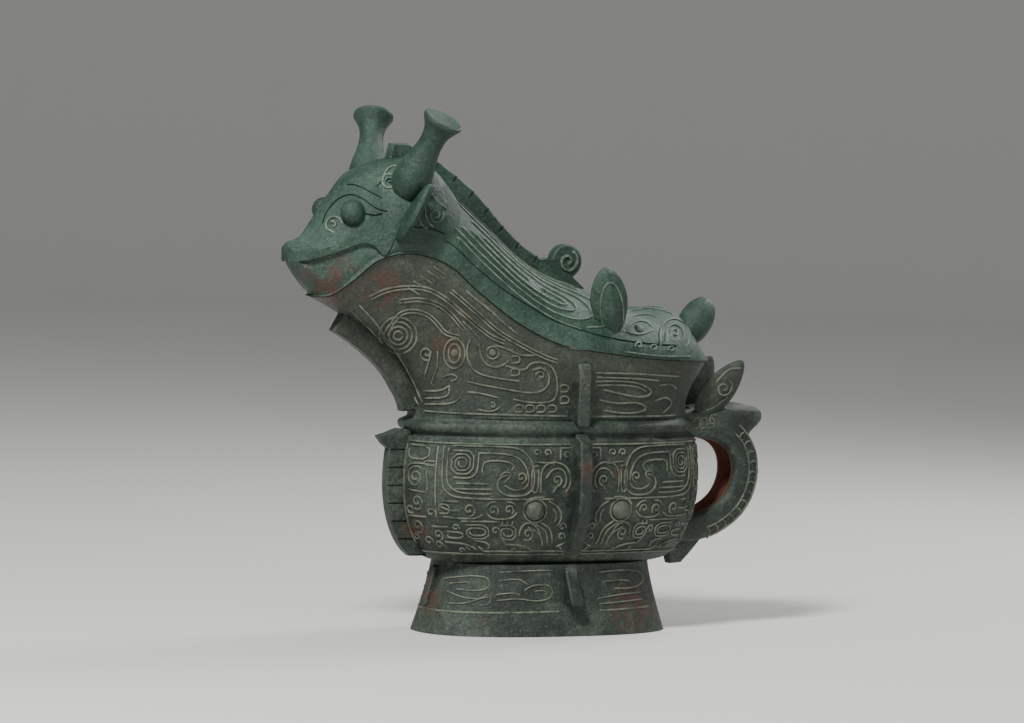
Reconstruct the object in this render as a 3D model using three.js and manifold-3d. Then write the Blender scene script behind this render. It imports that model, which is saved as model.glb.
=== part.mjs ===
// A bronze gong: a pouring vessel with an oval belly, a flared foot, a long spout and a beast handle,
// under a lid that is a horned beast from its head over the spout to its curled tail.
// Millimetres, +Z up. The spout points along -X and the handle along +X. The drawing's X runs from the
// vessel's middle, and the finished pieces are moved so that the whole stands on the origin.
import * as THREE from 'three';
import { mergeVertices } from 'three/addons/utils/BufferGeometryUtils.js';
import Module from 'manifold-3d';

const wasm = await Module();
wasm.setup();

// Driving sizes: body
const WALL = 3.5;
const FLOOR = 4;
const FOOT_HEIGHT = 39.5;
const FOOT_LENGTH = 149.5;
const FOOT_WIDTH = 80;
const FOOT_TOP_LENGTH = 128;
const FOOT_TOP_WIDTH = 66;
const BELLY_HEIGHT = 68.5;
const BELLY_LENGTH = 180.6;
const BELLY_WIDTH = 85;
const BELLY_ROUNDING = 24;
const WAIST_HEIGHT = 12;
const NECK_LENGTH = 165.6;
const NECK_WIDTH = 77;
const RIM_WIDTH = 88;
const SPOUT_REACH = 142.2;
const REAR_REACH = 101.1;
const BELLY_CENTRE = 5.5;
const FOOT_CENTRE = 3;
const NECK_CENTRE = 4.7;

// Driving sizes: lid
const LID_GAP = 0.4;
const LID_OVERHANG = 1.2;
const HORN_LENGTH = 38;
const HORN_SPREAD = 45;
const HORN_ROOT = 12;
const HORN_CAP_RADIUS = 11;
const HORN_NECK_RADIUS = 6.8;
const HORN_BASE_RADIUS = 11;
const EYE_RADIUS = 5.3;
const RIDGE_THICKNESS = 7.5;

// Driving sizes: flanges and handle
const FLANGE_THICKNESS = 7.5;
const FLANGE_REACH = 8.5;
const FRONT_REACH = 9.8;
const FRONT_ROOT = 2.5;
const SIDE_ROOT = 1.5;
const NECK_FLANGE_HEIGHT = 32;
const FLANGE_X = 4.6;
const SLIT = 1;
const SLIT_DEPTH = 1.2;
const SLIT_LENGTH = 9;
const FRONT_SLITS = 6;
const RIDGE_SLITS = 8;
const HANDLE_WIDTH = 24;
const HANDLE_DEPTH = 16;
const CHANNEL_WIDTH = 15;
const CHANNEL_DEPTH = 7;

// Driving sizes: carving
const LINE_WIDTH = 3.2;
const LINE_HEIGHT = 1.2;
const LINE_ROOT = 1.3;
const BOSS_RADIUS = 6;
const BOSS_RISE = 3;

// Facets
const SIDES = 32;
const INNER_SIDES = 24;
const NECK_STEPS = 6;
const LID_STEPS = 5;
const LEAF_STEPS = 6;
const HANDLE_STEPS = 11;
const HORN_SIDES = 10;
const BALL_SIDES = 8;

const FOOT_TOP = FOOT_HEIGHT;
const BELLY_TOP = FOOT_TOP + BELLY_HEIGHT;
const NECK_BASE = BELLY_TOP + WAIST_HEIGHT;

// A smooth height or width through a few points [x, value], for an x in any order of the first column
function through(points) {
  const slopes = points.map((point, i) => {
    const before = points[Math.max(i - 1, 0)];
    const after = points[Math.min(i + 1, points.length - 1)];
    return (after[1] - before[1]) / (after[0] - before[0]);
  });
  return (x) => {
    let i = 0;
    while (i < points.length - 2 && x > points[i + 1][0]) i += 1;
    const [x0, v0] = points[i];
    const [x1, v1] = points[i + 1];
    const span = x1 - x0;
    const t = THREE.MathUtils.clamp((x - x0) / span, 0, 1);
    const t2 = t * t;
    const t3 = t2 * t;
    return (2 * t3 - 3 * t2 + 1) * v0 + (t3 - 2 * t2 + t) * span * slopes[i]
      + (3 * t2 - 2 * t3) * v1 + (t3 - t2) * span * slopes[i + 1];
  };
}

// Heights along the vessel: the rim as a rise above the neck's base, the lid's back and the beast's head
const rimRise = through([[-SPOUT_REACH, 64.5], [-136, 65.5], [-127, 73], [-113.5, 85.5], [-96, 89.4], [-76, 83.7],
  [-59, 69.6], [-36, 53], [-11, 41.3], [13.6, 37], [49, 33], [95, 30.5], [REAR_REACH, 30.5]]);
const backRise = through([[-140, 76], [-120, 102], [-95, 126], [-80, 131], [-70, 127], [-54, 116], [-41, 105],
  [-28, 93.5], [-15, 84], [-2, 78], [12, 73.5], [30, 67], [45, 61], [60, 60], [74, 60], [86, 54.5], [95, 46]]);
const headTop = through([[-158.4, 92.5], [-157.5, 94], [-152, 96], [-148, 98.5], [-142.3, 107.4], [-134.9, 118.2],
  [-123.4, 130.8], [-113, 136.5], [-99, 140.5], [-86, 141], [-76, 137], [-66, 127], [-58, 117]]);
const headHalfWidth = through([[-158.4, 4.5], [-156, 9], [-151, 13], [-144, 15.5], [-137, 18], [-128, 21],
  [-118, 25.5], [-108, 30], [-98, 33], [-86, 34], [-76, 33], [-66, 30], [-58, 27]]);
const lipRise = through([[-158.4, 84], [-150, 85], [-140, 88], [-130, 92], [-122, 95], [-116, 93], [-111, 86],
  [-108, 84]]);
const jawRise = through([[-154, 83.5], [-151, 76.1], [-146.5, 69.8], [-142.2, 66.5]]);

const rimHeight = (x) => NECK_BASE + rimRise(x);
const signedPower = (value, power) => Math.sign(value) * Math.abs(value) ** power;

// One level of the body as a superellipse: its outline point at an angle, 0 at the handle
function planPoint(angle, level) {
  const power = 2 / level.fullness;
  return [level.centre + level.length / 2 * signedPower(Math.cos(angle), power),
    level.width / 2 * signedPower(Math.sin(angle), power)];
}

function footLevel(share) {
  const flare = (1 - share) ** 1.25;
  return { z: FOOT_TOP * share, centre: FOOT_CENTRE, fullness: 2.4,
    length: FOOT_TOP_LENGTH + (FOOT_LENGTH - FOOT_TOP_LENGTH) * flare,
    width: FOOT_TOP_WIDTH + (FOOT_WIDTH - FOOT_TOP_WIDTH) * flare };
}

// The belly is fullest at two thirds of its height and rounds in below
const FULLEST = 0.66;
const TOP_TAPER = 2.3;
function bellyLevel(share) {
  const below = Math.max(0, (FULLEST - share) / FULLEST);
  const above = Math.max(0, (share - FULLEST) / (1 - FULLEST));
  const inset = BELLY_ROUNDING * (1 - Math.sqrt(1 - below * below)) + TOP_TAPER * above * above;
  return { z: FOOT_TOP + BELLY_HEIGHT * share, centre: BELLY_CENTRE, fullness: 2.5,
    length: BELLY_LENGTH - 2 * inset, width: BELLY_WIDTH - 1.3 * inset };
}

// The waist: a groove over the belly, a rounded moulding and the step to the neck
const waistProfile = [[0.1, 5], [0.24, 5.2], [0.36, 3], [0.58, 2], [0.8, 4], [0.94, 7.5]];
function waistLevel([share, inset]) {
  return { z: BELLY_TOP + WAIST_HEIGHT * share, centre: THREE.MathUtils.lerp(BELLY_CENTRE, NECK_CENTRE, share),
    fullness: 2.45, length: BELLY_LENGTH - 2 * inset, width: BELLY_WIDTH - 1.3 * inset };
}

const neckLevel = { z: NECK_BASE, centre: NECK_CENTRE, fullness: 2.4, length: NECK_LENGTH, width: NECK_WIDTH };

// The rim's outline in plan, drawn in towards the spout, and its height
const SPOUT_NARROWING = 0.08;
function rimPoint(angle) {
  const along = Math.cos(angle);
  const reach = along > 0 ? REAR_REACH : SPOUT_REACH;
  const narrowing = along < 0 ? 1 - SPOUT_NARROWING * Math.sin(-Math.PI * along) : 1;
  const x = reach * along;
  return new THREE.Vector3(x, RIM_WIDTH / 2 * Math.sin(angle) * narrowing, rimHeight(x));
}

// The neck opens from its oval base to the rim, late and far at the spout, in an S at the rear
function neckPoint(angle, share) {
  const [x, y] = planPoint(angle, neckLevel);
  const rim = rimPoint(angle);
  const rearward = (1 + Math.cos(angle)) / 2;
  const spread = THREE.MathUtils.lerp(share ** 2.2, 1 - (1 - share ** 2.6) ** 1.6, rearward);
  return new THREE.Vector3(THREE.MathUtils.lerp(x, rim.x, spread), THREE.MathUtils.lerp(y, rim.y, spread),
    THREE.MathUtils.lerp(NECK_BASE, rim.z, share));
}

const turns = (count) => Array.from({ length: count }, (_, i) => 2 * Math.PI * i / count);
const angles = turns(SIDES);
const innerAngles = turns(INNER_SIDES);
const levelRing = (level, around = angles) => around.map((angle) => new THREE.Vector3(...planPoint(angle, level),
  level.z));
const inset = (level, by) => ({ ...level, length: level.length - 2 * by, width: level.width - 2 * by });
const range = (count, from, to) => Array.from({ length: count }, (_, i) => from + (to - from) * i / (count - 1));

// A closed skin over rings of points. An end is closed on its middle line, or on its middle point.
const toMiddleLine = (ring) => ring.map((point) => new THREE.Vector3(point.x, 0, point.z));
function toMiddlePoint(ring) {
  const middle = ring.reduce((sum, point) => sum.add(point), new THREE.Vector3()).divideScalar(ring.length);
  return ring.map(() => middle);
}

function skin(rings, close) {
  const all = [close(rings[0]), ...rings, close(rings[rings.length - 1])];
  const corners = [];
  for (let i = 0; i < all.length - 1; i += 1) {
    for (let j = 0; j < all[i].length; j += 1) {
      const k = (j + 1) % all[i].length;
      corners.push(all[i][j], all[i][k], all[i + 1][k], all[i][j], all[i + 1][k], all[i + 1][j]);
    }
  }
  return new THREE.BufferGeometry().setFromPoints(corners);
}

// A solid for joins and cuts from a closed geometry, turned right side out if it is inside out
function solid(geometry) {
  const bare = geometry.clone();
  Object.keys(bare.attributes).filter((name) => name !== 'position').forEach((name) => bare.deleteAttribute(name));
  const merged = mergeVertices(bare, 1e-3);
  const place = (i) => new THREE.Vector3().fromBufferAttribute(merged.attributes.position, i);
  const triangles = [];
  let volume = 0;
  for (let i = 0; i < merged.index.count; i += 3) {
    const [a, b, c] = [0, 1, 2].map((k) => merged.index.getX(i + k));
    if (a !== b && b !== c && c !== a) {
      triangles.push([a, b, c]);
      volume += place(a).dot(place(b).cross(place(c)));
    }
  }
  const facing = triangles.map((t) => (volume > 0 ? t : [t[0], t[2], t[1]]));
  return new wasm.Manifold(new wasm.Mesh({ numProp: 3,
    vertProperties: Float32Array.from(merged.attributes.position.array), triVerts: Uint32Array.from(facing.flat()) }));
}

// A plate cut to an outline: [x, z] points with its thickness along Y, or [y, z] points with it along X
function plate(outline, thickness, acrossX = false, x = 0) {
  const shape = new THREE.Shape(outline.map((point) => new THREE.Vector2(...point)));
  const geometry = new THREE.ExtrudeGeometry(shape, { depth: thickness, bevelEnabled: false, curveSegments: 6 });
  geometry.translate(0, 0, -thickness / 2);
  const [ex, ey, ez] = [[1, 0, 0], [0, 1, 0], [0, 0, 1]].map((axis) => new THREE.Vector3(...axis));
  const basis = acrossX ? new THREE.Matrix4().makeBasis(ey, ez, ex)
    : new THREE.Matrix4().makeBasis(ex, ez, ey.negate());
  geometry.applyMatrix4(basis);
  return solid(geometry.translate(x, 0, 0));
}

// Turns a form drawn along +Y, with its face to +Z, to run from base to tip with its face outward
function placed(geometry, base, tip, outward) {
  const along = tip.clone().sub(base).normalize();
  const face = outward.clone().addScaledVector(along, -outward.dot(along)).normalize();
  const across = new THREE.Vector3().crossVectors(along, face);
  const turn = new THREE.Matrix4().makeBasis(across, along, face).setPosition(base);
  return solid(geometry.clone().applyMatrix4(turn));
}

// A leaf along +Y: rings of eight points, full below the middle, with a keel on its face
function leaf({ length, width, thickness, keel, blunt }) {
  const rings = range(LEAF_STEPS, 0.04, 0.985).map((share) => {
    const spread = Math.sin(Math.PI * share ** blunt) ** 0.6;
    const points = [[1, 0], [0.62, 0.6], [0, 1], [-0.62, 0.6], [-1, 0], [-0.62, -0.5], [0, -0.6], [0.62, -0.5]];
    return points.map(([u, v]) => new THREE.Vector3(u * width / 2 * spread, share * length,
      v * (thickness / 2 + (u === 0 && v > 0 ? keel : 0)) * spread ** 0.7));
  });
  return skin(rings, toMiddlePoint);
}

const mirrored = (part) => part.add(part.mirror([0, 1, 0]));
const union = (parts) => wasm.Manifold.union(parts);

// Foot, belly, waist and neck, hollow from the floor up and under the foot
function body() {
  const footLevels = range(4, 0, 0.97).map(footLevel);
  const bellyLevels = [0.002, 0.04, 0.2, FULLEST, 0.88, 1].map(bellyLevel);
  const waistLevels = waistProfile.map(waistLevel);
  const outside = [...[...footLevels, ...bellyLevels, ...waistLevels].map((level) => levelRing(level)),
    ...range(NECK_STEPS, 0, 1).map((share) => angles.map((angle) => neckPoint(angle, share)))];
  const cavityLevels = [0.07, 0.18, FULLEST, 1].map(bellyLevel).map((level) => inset(level, WALL));
  const floor = { ...cavityLevels[0], z: FOOT_TOP + FLOOR };
  const neckCavity = [0.35, 0.6, 0.8, 1].map((share) => innerAngles.map((angle) => wallInside(angle, share)));
  const above = neckCavity[neckCavity.length - 1].map((point) => point.clone().setZ(point.z + WALL));
  const cavity = [...[floor, ...cavityLevels.slice(1), inset(neckLevel, WALL)]
    .map((level) => levelRing(level, innerAngles)), ...neckCavity, above];
  const footHollow = [{ ...inset(footLevel(0), WALL), z: -WALL }, ...range(3, 0, 0.98).map(footLevel)
    .map((level) => inset(level, WALL))].map((level) => levelRing(level, innerAngles));
  return { outside: solid(skin(outside, toMiddleLine)),
    hollows: union([solid(skin(cavity, toMiddleLine)), solid(skin(footHollow, toMiddleLine))]) };
}

// A point of the neck's inner face: the outer point moved in along the surface's normal
function wallInside(angle, share) {
  const small = 0.002;
  const point = neckPoint(angle, share);
  const along = neckPoint(angle + small, share).sub(neckPoint(angle - small, share));
  const up = neckPoint(angle, Math.min(share + small, 1)).sub(neckPoint(angle, share - small));
  const normal = along.cross(up).normalize();
  return point.addScaledVector(normal, -WALL);
}

// Flanges: down the front of neck, belly and foot, and on both sides. Slits cross them.
function frontFlanges() {
  const neckShares = range(7, 0.04, 0.86);
  const neckLine = (out) => neckShares.map((share) => {
    const point = neckPoint(Math.PI, share);
    const ahead = neckPoint(Math.PI, share + 0.01).sub(point).normalize();
    const reach = out > 0 ? out * Math.min(1, 0.7 + share) : out;
    return [point.x - ahead.z * reach, point.z + ahead.x * reach];
  });
  const neckOuter = [...neckLine(FRONT_REACH + 1), ...neckLine(-WALL * 0.8).reverse()];
  const bellyShares = range(7, 0.98, 0.04);
  const bellyFront = (share) => BELLY_CENTRE - bellyLevel(share).length / 2;
  const bellyZ = (share) => bellyLevel(share).z;
  const crown = bellyFront(1);
  const bellyOuter = [[crown - 17.5, BELLY_TOP + 0.5], [crown - 14.5, BELLY_TOP - 3.5],
    ...bellyShares.slice(1).map((share) => [bellyFront(share) - FRONT_REACH, bellyZ(share)]),
    [bellyFront(0.04) + WALL, bellyZ(0.04)],
    ...bellyShares.slice(0, -1).reverse().map((share) => [bellyFront(share) + FRONT_ROOT, bellyZ(share)]),
    [crown + FRONT_ROOT, BELLY_TOP + 4], [crown - 5.5, BELLY_TOP + 4.5], [crown - 12, BELLY_TOP + 2]];
  const footFront = (share, out) => [FOOT_CENTRE - footLevel(share).length / 2 - out, FOOT_TOP * share];
  const footOuter = [footFront(0.94, -WALL * 0.8), footFront(0.92, 2), footFront(0.5, 2.5), footFront(0.38, 1.2),
    footFront(0.36, -1), footFront(0.5, -WALL * 0.8)];
  const slits = range(FRONT_SLITS, 0.9, 0.18).map((share) => slitPair(bellyFront(share) - FRONT_REACH / 2,
    bellyZ(share), 0, FLANGE_THICKNESS));
  return union([plate(neckOuter, FLANGE_THICKNESS), plate(bellyOuter, FLANGE_THICKNESS).subtract(union(slits)),
    plate(footOuter, FLANGE_THICKNESS * 0.7)]);
}

// Cutters for one slit: two thin blocks that bite into both faces of a flange, at a slant about Y
function slitPair(x, z, slant, thickness) {
  return union([-1, 1].map((side) => {
    const block = new THREE.BoxGeometry(SLIT_LENGTH, SLIT_DEPTH * 2, SLIT).rotateY(slant);
    return solid(block.translate(x, side * thickness / 2, z));
  }));
}

function sideFlanges() {
  const bellyHalf = (share) => bellyLevel(share).width / 2;
  const bellyShares = range(6, 0.13, 1);
  const belly = [...bellyShares.map((share) => [-(bellyHalf(share) + FLANGE_REACH * Math.min(1, 0.25 + 2 * share)),
    bellyLevel(share).z]), [-bellyHalf(1) - 1, BELLY_TOP + 4], [-bellyHalf(1) + WALL, BELLY_TOP],
    ...bellyShares.slice(0, -1).reverse().map((share) => [SIDE_ROOT - bellyHalf(share), bellyLevel(share).z])];
  const neckHalf = NECK_WIDTH / 2;
  const neckTop = NECK_BASE + NECK_FLANGE_HEIGHT;
  const neck = [[-neckHalf + SIDE_ROOT, NECK_BASE - 1], [-neckHalf - 6, NECK_BASE - 3.5],
    [-neckHalf - 7, NECK_BASE - 1], [-neckHalf - 7.5, neckTop - 6], [-neckHalf - 5, neckTop - 1],
    [-neckHalf + SIDE_ROOT, neckTop]];
  const footSide = (share, out) => [-footLevel(share).width / 2 - out, FOOT_TOP * share];
  const foot = [footSide(0.95, -SIDE_ROOT), footSide(0.95, 2), footSide(0.5, FLANGE_REACH), footSide(0.44, 8),
    footSide(0.44, -1)];
  return mirrored(union([belly, neck, foot].map((outline) => plate(outline, FLANGE_THICKNESS, true, FLANGE_X))));
}

// The handle, drawn from its upper root on the belly's rear: a loop with a channel along its inside,
// a beast's head on top with two ears, and a tail tag below
const handlePath = new THREE.CatmullRomCurve3([[-11.8, -52.5], [1.2, -51.5], [13.2, -47], [23.7, -39], [29.7, -28],
  [30.7, -16], [26.7, -5], [17.2, 3], [2.2, 6.5], [-11.8, 7]].map(([x, z]) => new THREE.Vector3(x, 0, z)));
const headStations = [[-3.8, -2, 16, 9], [8.2, -2, 17.5, 12.5], [19.2, -4, 18.5, 13.5], [29.2, -5, 18, 11.5],
  [35.2, 1, 16.5, 9.5], [40.2, 5, 15.5, 7.5], [43.5, 7.5, 13.5, 4.5]];
const tagOutline = [[-15.8, -60], [-11.8, -72.5], [-4.8, -72], [1.2, -66], [8.2, -58], [-5.8, -54]];

function sweep(width, depth, offset) {
  const rings = range(HANDLE_STEPS, 0, 1).map((share) => {
    const point = handlePath.getPointAt(share);
    const tangent = handlePath.getTangentAt(share);
    const outward = new THREE.Vector3(tangent.z, 0, -tangent.x);
    const section = [[1, 0], [0.86, 0.86], [0, 1], [-0.86, 0.86], [-1, 0], [-0.86, -0.86], [0, -1], [0.86, -0.86]];
    return section.map(([u, v]) => point.clone().addScaledVector(outward, offset + u * depth / 2)
      .setY(v * width / 2));
  });
  return solid(skin(rings, toMiddlePoint));
}

function handle() {
  const channel = sweep(CHANNEL_WIDTH, CHANNEL_DEPTH * 2, -HANDLE_DEPTH / 2);
  const loop = sweep(HANDLE_WIDTH, HANDLE_DEPTH, 0);
  const head = skin(headStations.map(([x, low, high, half]) => [[1, 0.5], [0.8, 0.88], [0, 1], [-0.8, 0.88],
    [-1, 0.5], [-0.8, 0.12], [0, 0], [0.8, 0.12]].map(([v, w]) => new THREE.Vector3(x, v * half,
    THREE.MathUtils.lerp(low, high, w)))), toMiddlePoint);
  const ear = placed(leaf({ length: 41, width: 19, thickness: 6, keel: 0, blunt: 0.85 }),
    new THREE.Vector3(-0.3, -8.5, 10.5), new THREE.Vector3(23.2, -18.5, 44), new THREE.Vector3(0.1, -1, 0.1));
  return union([loop, solid(head), mirrored(ear), plate(tagOutline, FLANGE_THICKNESS)]).subtract(channel)
    .translate([BELLY_CENTRE + BELLY_LENGTH / 2, 0, BELLY_TOP]);
}

// Carving in ridged lines on the -Y side, of which the other side has the boldest. A surface is a point for
// two numbers, the first growing towards the handle and the second upwards.
function faceAt(surface, u, v) {
  const small = 0.01;
  const along = surface(u + small, v).sub(surface(u - small, v));
  const upward = surface(u, v + small).sub(surface(u, v - small));
  return { point: surface(u, v), normal: along.cross(upward).normalize() };
}

function line(surface, path) {
  const faces = path.map(([u, v]) => faceAt(surface, u, v));
  const rings = faces.map(({ point, normal }, i) => {
    const before = faces[Math.max(i - 1, 0)].point;
    const after = faces[Math.min(i + 1, faces.length - 1)].point;
    const side = after.clone().sub(before).cross(normal).normalize().multiplyScalar(LINE_WIDTH / 2);
    const root = point.clone().addScaledVector(normal, -LINE_ROOT);
    return [root.clone().add(side), point.clone().addScaledVector(normal, LINE_HEIGHT), root.clone().sub(side)];
  });
  return solid(skin(rings, toMiddlePoint));
}

function boss(surface, [u, v], size = 1) {
  const { point, normal } = faceAt(surface, u, v);
  const dome = new THREE.SphereGeometry(1, BALL_SIDES, 4);
  dome.scale(BOSS_RADIUS * size, BOSS_RADIUS * size, BOSS_RISE * size);
  return placed(dome, point, point.clone().add(new THREE.Vector3(0, 0, 1)), normal);
}

// The near side's angle for a share of the outline from the side flange, -1 at the spout and 1 at the handle
function sideAngle(level) {
  const outline = range(121, Math.PI, 2 * Math.PI).map((angle) => [angle, ...planPoint(angle, level)]);
  const lengths = [0];
  for (let i = 1; i < outline.length; i += 1) {
    const [, x0, y0] = outline[i - 1];
    lengths.push(lengths[i - 1] + Math.hypot(outline[i][1] - x0, outline[i][2] - y0));
  }
  const middle = lengths[outline.findIndex(([, x]) => x > FLANGE_X)];
  const end = lengths[lengths.length - 1];
  const shares = lengths.map((length) => (length < middle ? length / middle - 1 : (length - middle) / (end - middle)));
  return through(shares.map((share, i) => [share, outline[i][0]]));
}

const bellyAngle = sideAngle(bellyLevel(FULLEST));
const neckAngle = sideAngle(neckLevel);
const footAngle = sideAngle(footLevel(0.5));
const onLevel = (angle, level) => new THREE.Vector3(...planPoint(angle, level), level.z);

// Each pattern is drawn in a field of this many units from the flange and up, and stretched over its surface
const BELLY_FIELD = [110, 68.5];
const NECK_FIELD = 101;
const FOOT_FIELD = [88, 39.5];
const bellySurface = (u, v) => onLevel(bellyAngle(u / BELLY_FIELD[0]), bellyLevel(v / BELLY_FIELD[1]));
const footSurface = (u, v) => onLevel(footAngle(u / FOOT_FIELD[0]), footLevel(v / FOOT_FIELD[1]));
function neckSurface(u, v) {
  const angle = neckAngle(u / NECK_FIELD);
  return neckPoint(angle, v / rimRise(rimPoint(angle).x));
}

// Half of the belly's beast mask: horn and nose scroll, then small scroll and jaw, with the eye as a boss
const boldMaskLines = [
  [[70, 65], [44, 64.5], [30, 58], [28, 45], [35, 40], [47, 42], [47, 49], [40, 49]],
  [[24.5, 43], [23, 54], [12, 58], [6.5, 49], [13, 43.5], [16, 49]]];
const fineMaskLines = [
  [[41, 33.5], [39, 27.5], [54, 26.5], [55, 33]],
  [[46, 15], [36, 21.5], [24, 19], [21, 13], [29, 13.5]]];
const maskEye = [27.5, 29.5];
// The dragon that stands beside the front flange
const dragonLines = [[[-89, 62], [-100, 60], [-99, 50], [-90, 47]], [[-90, 38], [-100, 36], [-99, 26], [-90, 24]]];

const neckLines = [
  [[-92, 40], [-82, 50], [-73.5, 54], [-71.2, 47.5], [-78, 42], [-84, 46]],
  [[-60, 66], [-48, 48], [-21, 32.3]],
  [[-64, 20.4], [-30, 13.9], [-19, 17], [-19, 25], [-26, 23]],
  [[-31, 29], [-20.7, 31.7], [-13, 26], [-13, 12], [-19, 8.6], [-39, 10]],
  [[10, 20], [58, 19], [58, 13], [25, 13.5], [17, 8], [32, 5]]];
const neckEye = [-47.3, 36.5];

const footLines = [
  [[-76, 31], [-50, 32], [-50, 24], [-68, 22]],
  [[20, 31], [52, 32], [54, 25], [24, 23.5]]];

function vesselCarving() {
  const bothHalves = (paths) => [...paths, ...paths.map((path) => path.map(([u, v]) => [-u, v]))];
  const bold = union([...bothHalves(boldMaskLines).map((path) => line(bellySurface, path)),
    ...bothHalves([[maskEye]]).map(([place]) => boss(bellySurface, place))]);
  const fine = [...[...bothHalves(fineMaskLines), ...dragonLines].map((path) => line(bellySurface, path)),
    ...neckLines.map((path) => line(neckSurface, path)), ...footLines.map((path) => line(footSurface, path)),
    boss(neckSurface, neckEye, 0.7)];
  return union([mirrored(bold), ...fine]);
}

function vessel() {
  const { outside, hollows } = body();
  return union([outside, vesselCarving(), frontFlanges(), sideFlanges(), handle()]).subtract(hollows);
}

// The lid's back: from the edge over the rim up to the ridge line, as an arch drawn in at both ends
const LID_FULLNESS = 1.85;
const LID_DRAW_IN = 0.1;
function lidPoint(angle, share, thin) {
  const edge = rimPoint(angle);
  const outward = LID_OVERHANG - thin;
  const turn = share * Math.PI / 2;
  const rise = Math.sin(turn) ** (2 / LID_FULLNESS);
  const x = (edge.x + outward * Math.cos(angle)) * (1 - LID_DRAW_IN * rise);
  const wide = edge.y + Math.sign(edge.y) * Math.min(outward, Math.abs(edge.y));
  const floor = rimHeight(edge.x) + LID_GAP;
  const top = Math.max(NECK_BASE + backRise(x) - thin * 1.3, floor + 1);
  return new THREE.Vector3(x, wide * Math.cos(turn) ** (2 / LID_FULLNESS), THREE.MathUtils.lerp(floor, top, rise));
}

function lidShell(thin) {
  const around = thin > 0 ? innerAngles : angles;
  const shares = thin > 0 ? [0, 0.3, 0.65, 1] : range(LID_STEPS, 0, 1);
  const rings = shares.map((share) => around.map((angle) => lidPoint(angle, share, thin)));
  if (thin > 0) rings.unshift(rings[0].map((point) => point.clone().setZ(point.z - WALL)));
  return solid(skin(rings, toMiddleLine));
}

// The beast's head: stations from snout to nape, an arch above the lip and a jaw below it
const JAW_INSET = 2.6;
function headShell(thin) {
  const stations = [-158.2, -156.8, -154, -150, -145, -139, -132, -125, -118, -113, -109, -102, -94, -84, -74, -64];
  const arch = thin > 0 ? 3 : 4;
  const chosen = thin > 0 ? [-150, -138, -124, -108, -94, -78, -64] : stations;
  const rings = chosen.map((x) => {
    const half = headHalfWidth(x) - thin;
    const top = NECK_BASE + headTop(x) - thin;
    const seat = x < -SPOUT_REACH ? NECK_BASE + Math.min(jawRise(x), lipRise(x) - 0.5) : rimHeight(x) + LID_GAP;
    const bottom = seat + thin * (x < -SPOUT_REACH + 4 ? 1 : -1);
    const lip = x < -110 ? NECK_BASE + lipRise(x) : THREE.MathUtils.lerp(bottom, top, 0.25);
    const undercut = x < -110 ? JAW_INSET : 0;
    const seatHalf = Math.min(half - undercut, Math.max(3, Math.abs(rimHalfWidth(x)) - thin));
    const side = [[seatHalf, bottom], [half - undercut * 0.6, THREE.MathUtils.lerp(bottom, lip, 0.45)],
      [half - undercut, lip - 0.8], [half, lip]];
    for (let i = 1; i <= arch; i += 1) {
      const turn = i / (arch + 1) * Math.PI / 2;
      side.push([half * Math.cos(turn) ** 0.9, THREE.MathUtils.lerp(lip, top, Math.sin(turn) ** 0.9)]);
    }
    return [[0, bottom], ...side, [0, top], ...side.slice().reverse().map(([y, z]) => [-y, z])]
      .map(([y, z]) => new THREE.Vector3(x, y, z));
  });
  return solid(skin(rings, toMiddlePoint));
}

function rimHalfWidth(x) {
  const along = THREE.MathUtils.clamp(x / (x < 0 ? SPOUT_REACH : REAR_REACH), -1, 1);
  return rimPoint(Math.acos(along)).y;
}

// A place on the lid, with its height as a rise above the neck's base
const onLid = (x, y, rise) => new THREE.Vector3(x, y, NECK_BASE + rise);

// Bottle horns with flared caps, on the skull
function horn() {
  const profile = [[0, -HORN_ROOT], [HORN_BASE_RADIUS + 1.5, -HORN_ROOT], [HORN_BASE_RADIUS, 0],
    [HORN_NECK_RADIUS + 1.6, HORN_LENGTH * 0.32], [HORN_NECK_RADIUS, HORN_LENGTH * 0.58],
    [HORN_NECK_RADIUS + 0.6, HORN_LENGTH * 0.74], [HORN_CAP_RADIUS, HORN_LENGTH - 3.5],
    [HORN_CAP_RADIUS, HORN_LENGTH - 1.5], [HORN_CAP_RADIUS - 1.5, HORN_LENGTH], [0, HORN_LENGTH - 1]];
  const lathe = new THREE.LatheGeometry(profile.map((point) => new THREE.Vector2(...point)), HORN_SIDES);
  return placed(lathe, onLid(-96.5, -28, 131), onLid(-86, -HORN_SPREAD, 165), new THREE.Vector3(0, -1, 0));
}

function headDetails() {
  const ear = placed(leaf({ length: 31, width: 14, thickness: 6, keel: 0, blunt: 0.9 }),
    onLid(-107, -30, 99), onLid(-95.5, -46, 128), new THREE.Vector3(0.9, -0.5, -0.4));
  const eye = solid(new THREE.SphereGeometry(EYE_RADIUS, BALL_SIDES, 7)
    .translate(...onLid(-127.5, -18.5, 111.3).toArray()));
  const leafHorn = placed(leaf({ length: 43, width: 21.5, thickness: 6, keel: 3, blunt: 1.1 }),
    onLid(26, -36, 44), onLid(14, -45, 85.5), new THREE.Vector3(-0.2, -1, 0));
  return mirrored(union([horn(), ear, eye, leafHorn]));
}

// The ridge, drawn in rises above the neck's base: a slit flange from the crest between the horns down the
// back, ending in a curled tail
const CURL_CENTRE = [12.5, 85.2];
const CURL_RADIUS = 9.3;
const aroundCurl = (radius, turn) => [CURL_CENTRE[0] + radius * Math.cos(turn * Math.PI),
  CURL_CENTRE[1] + radius * Math.sin(turn * Math.PI)];

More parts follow.
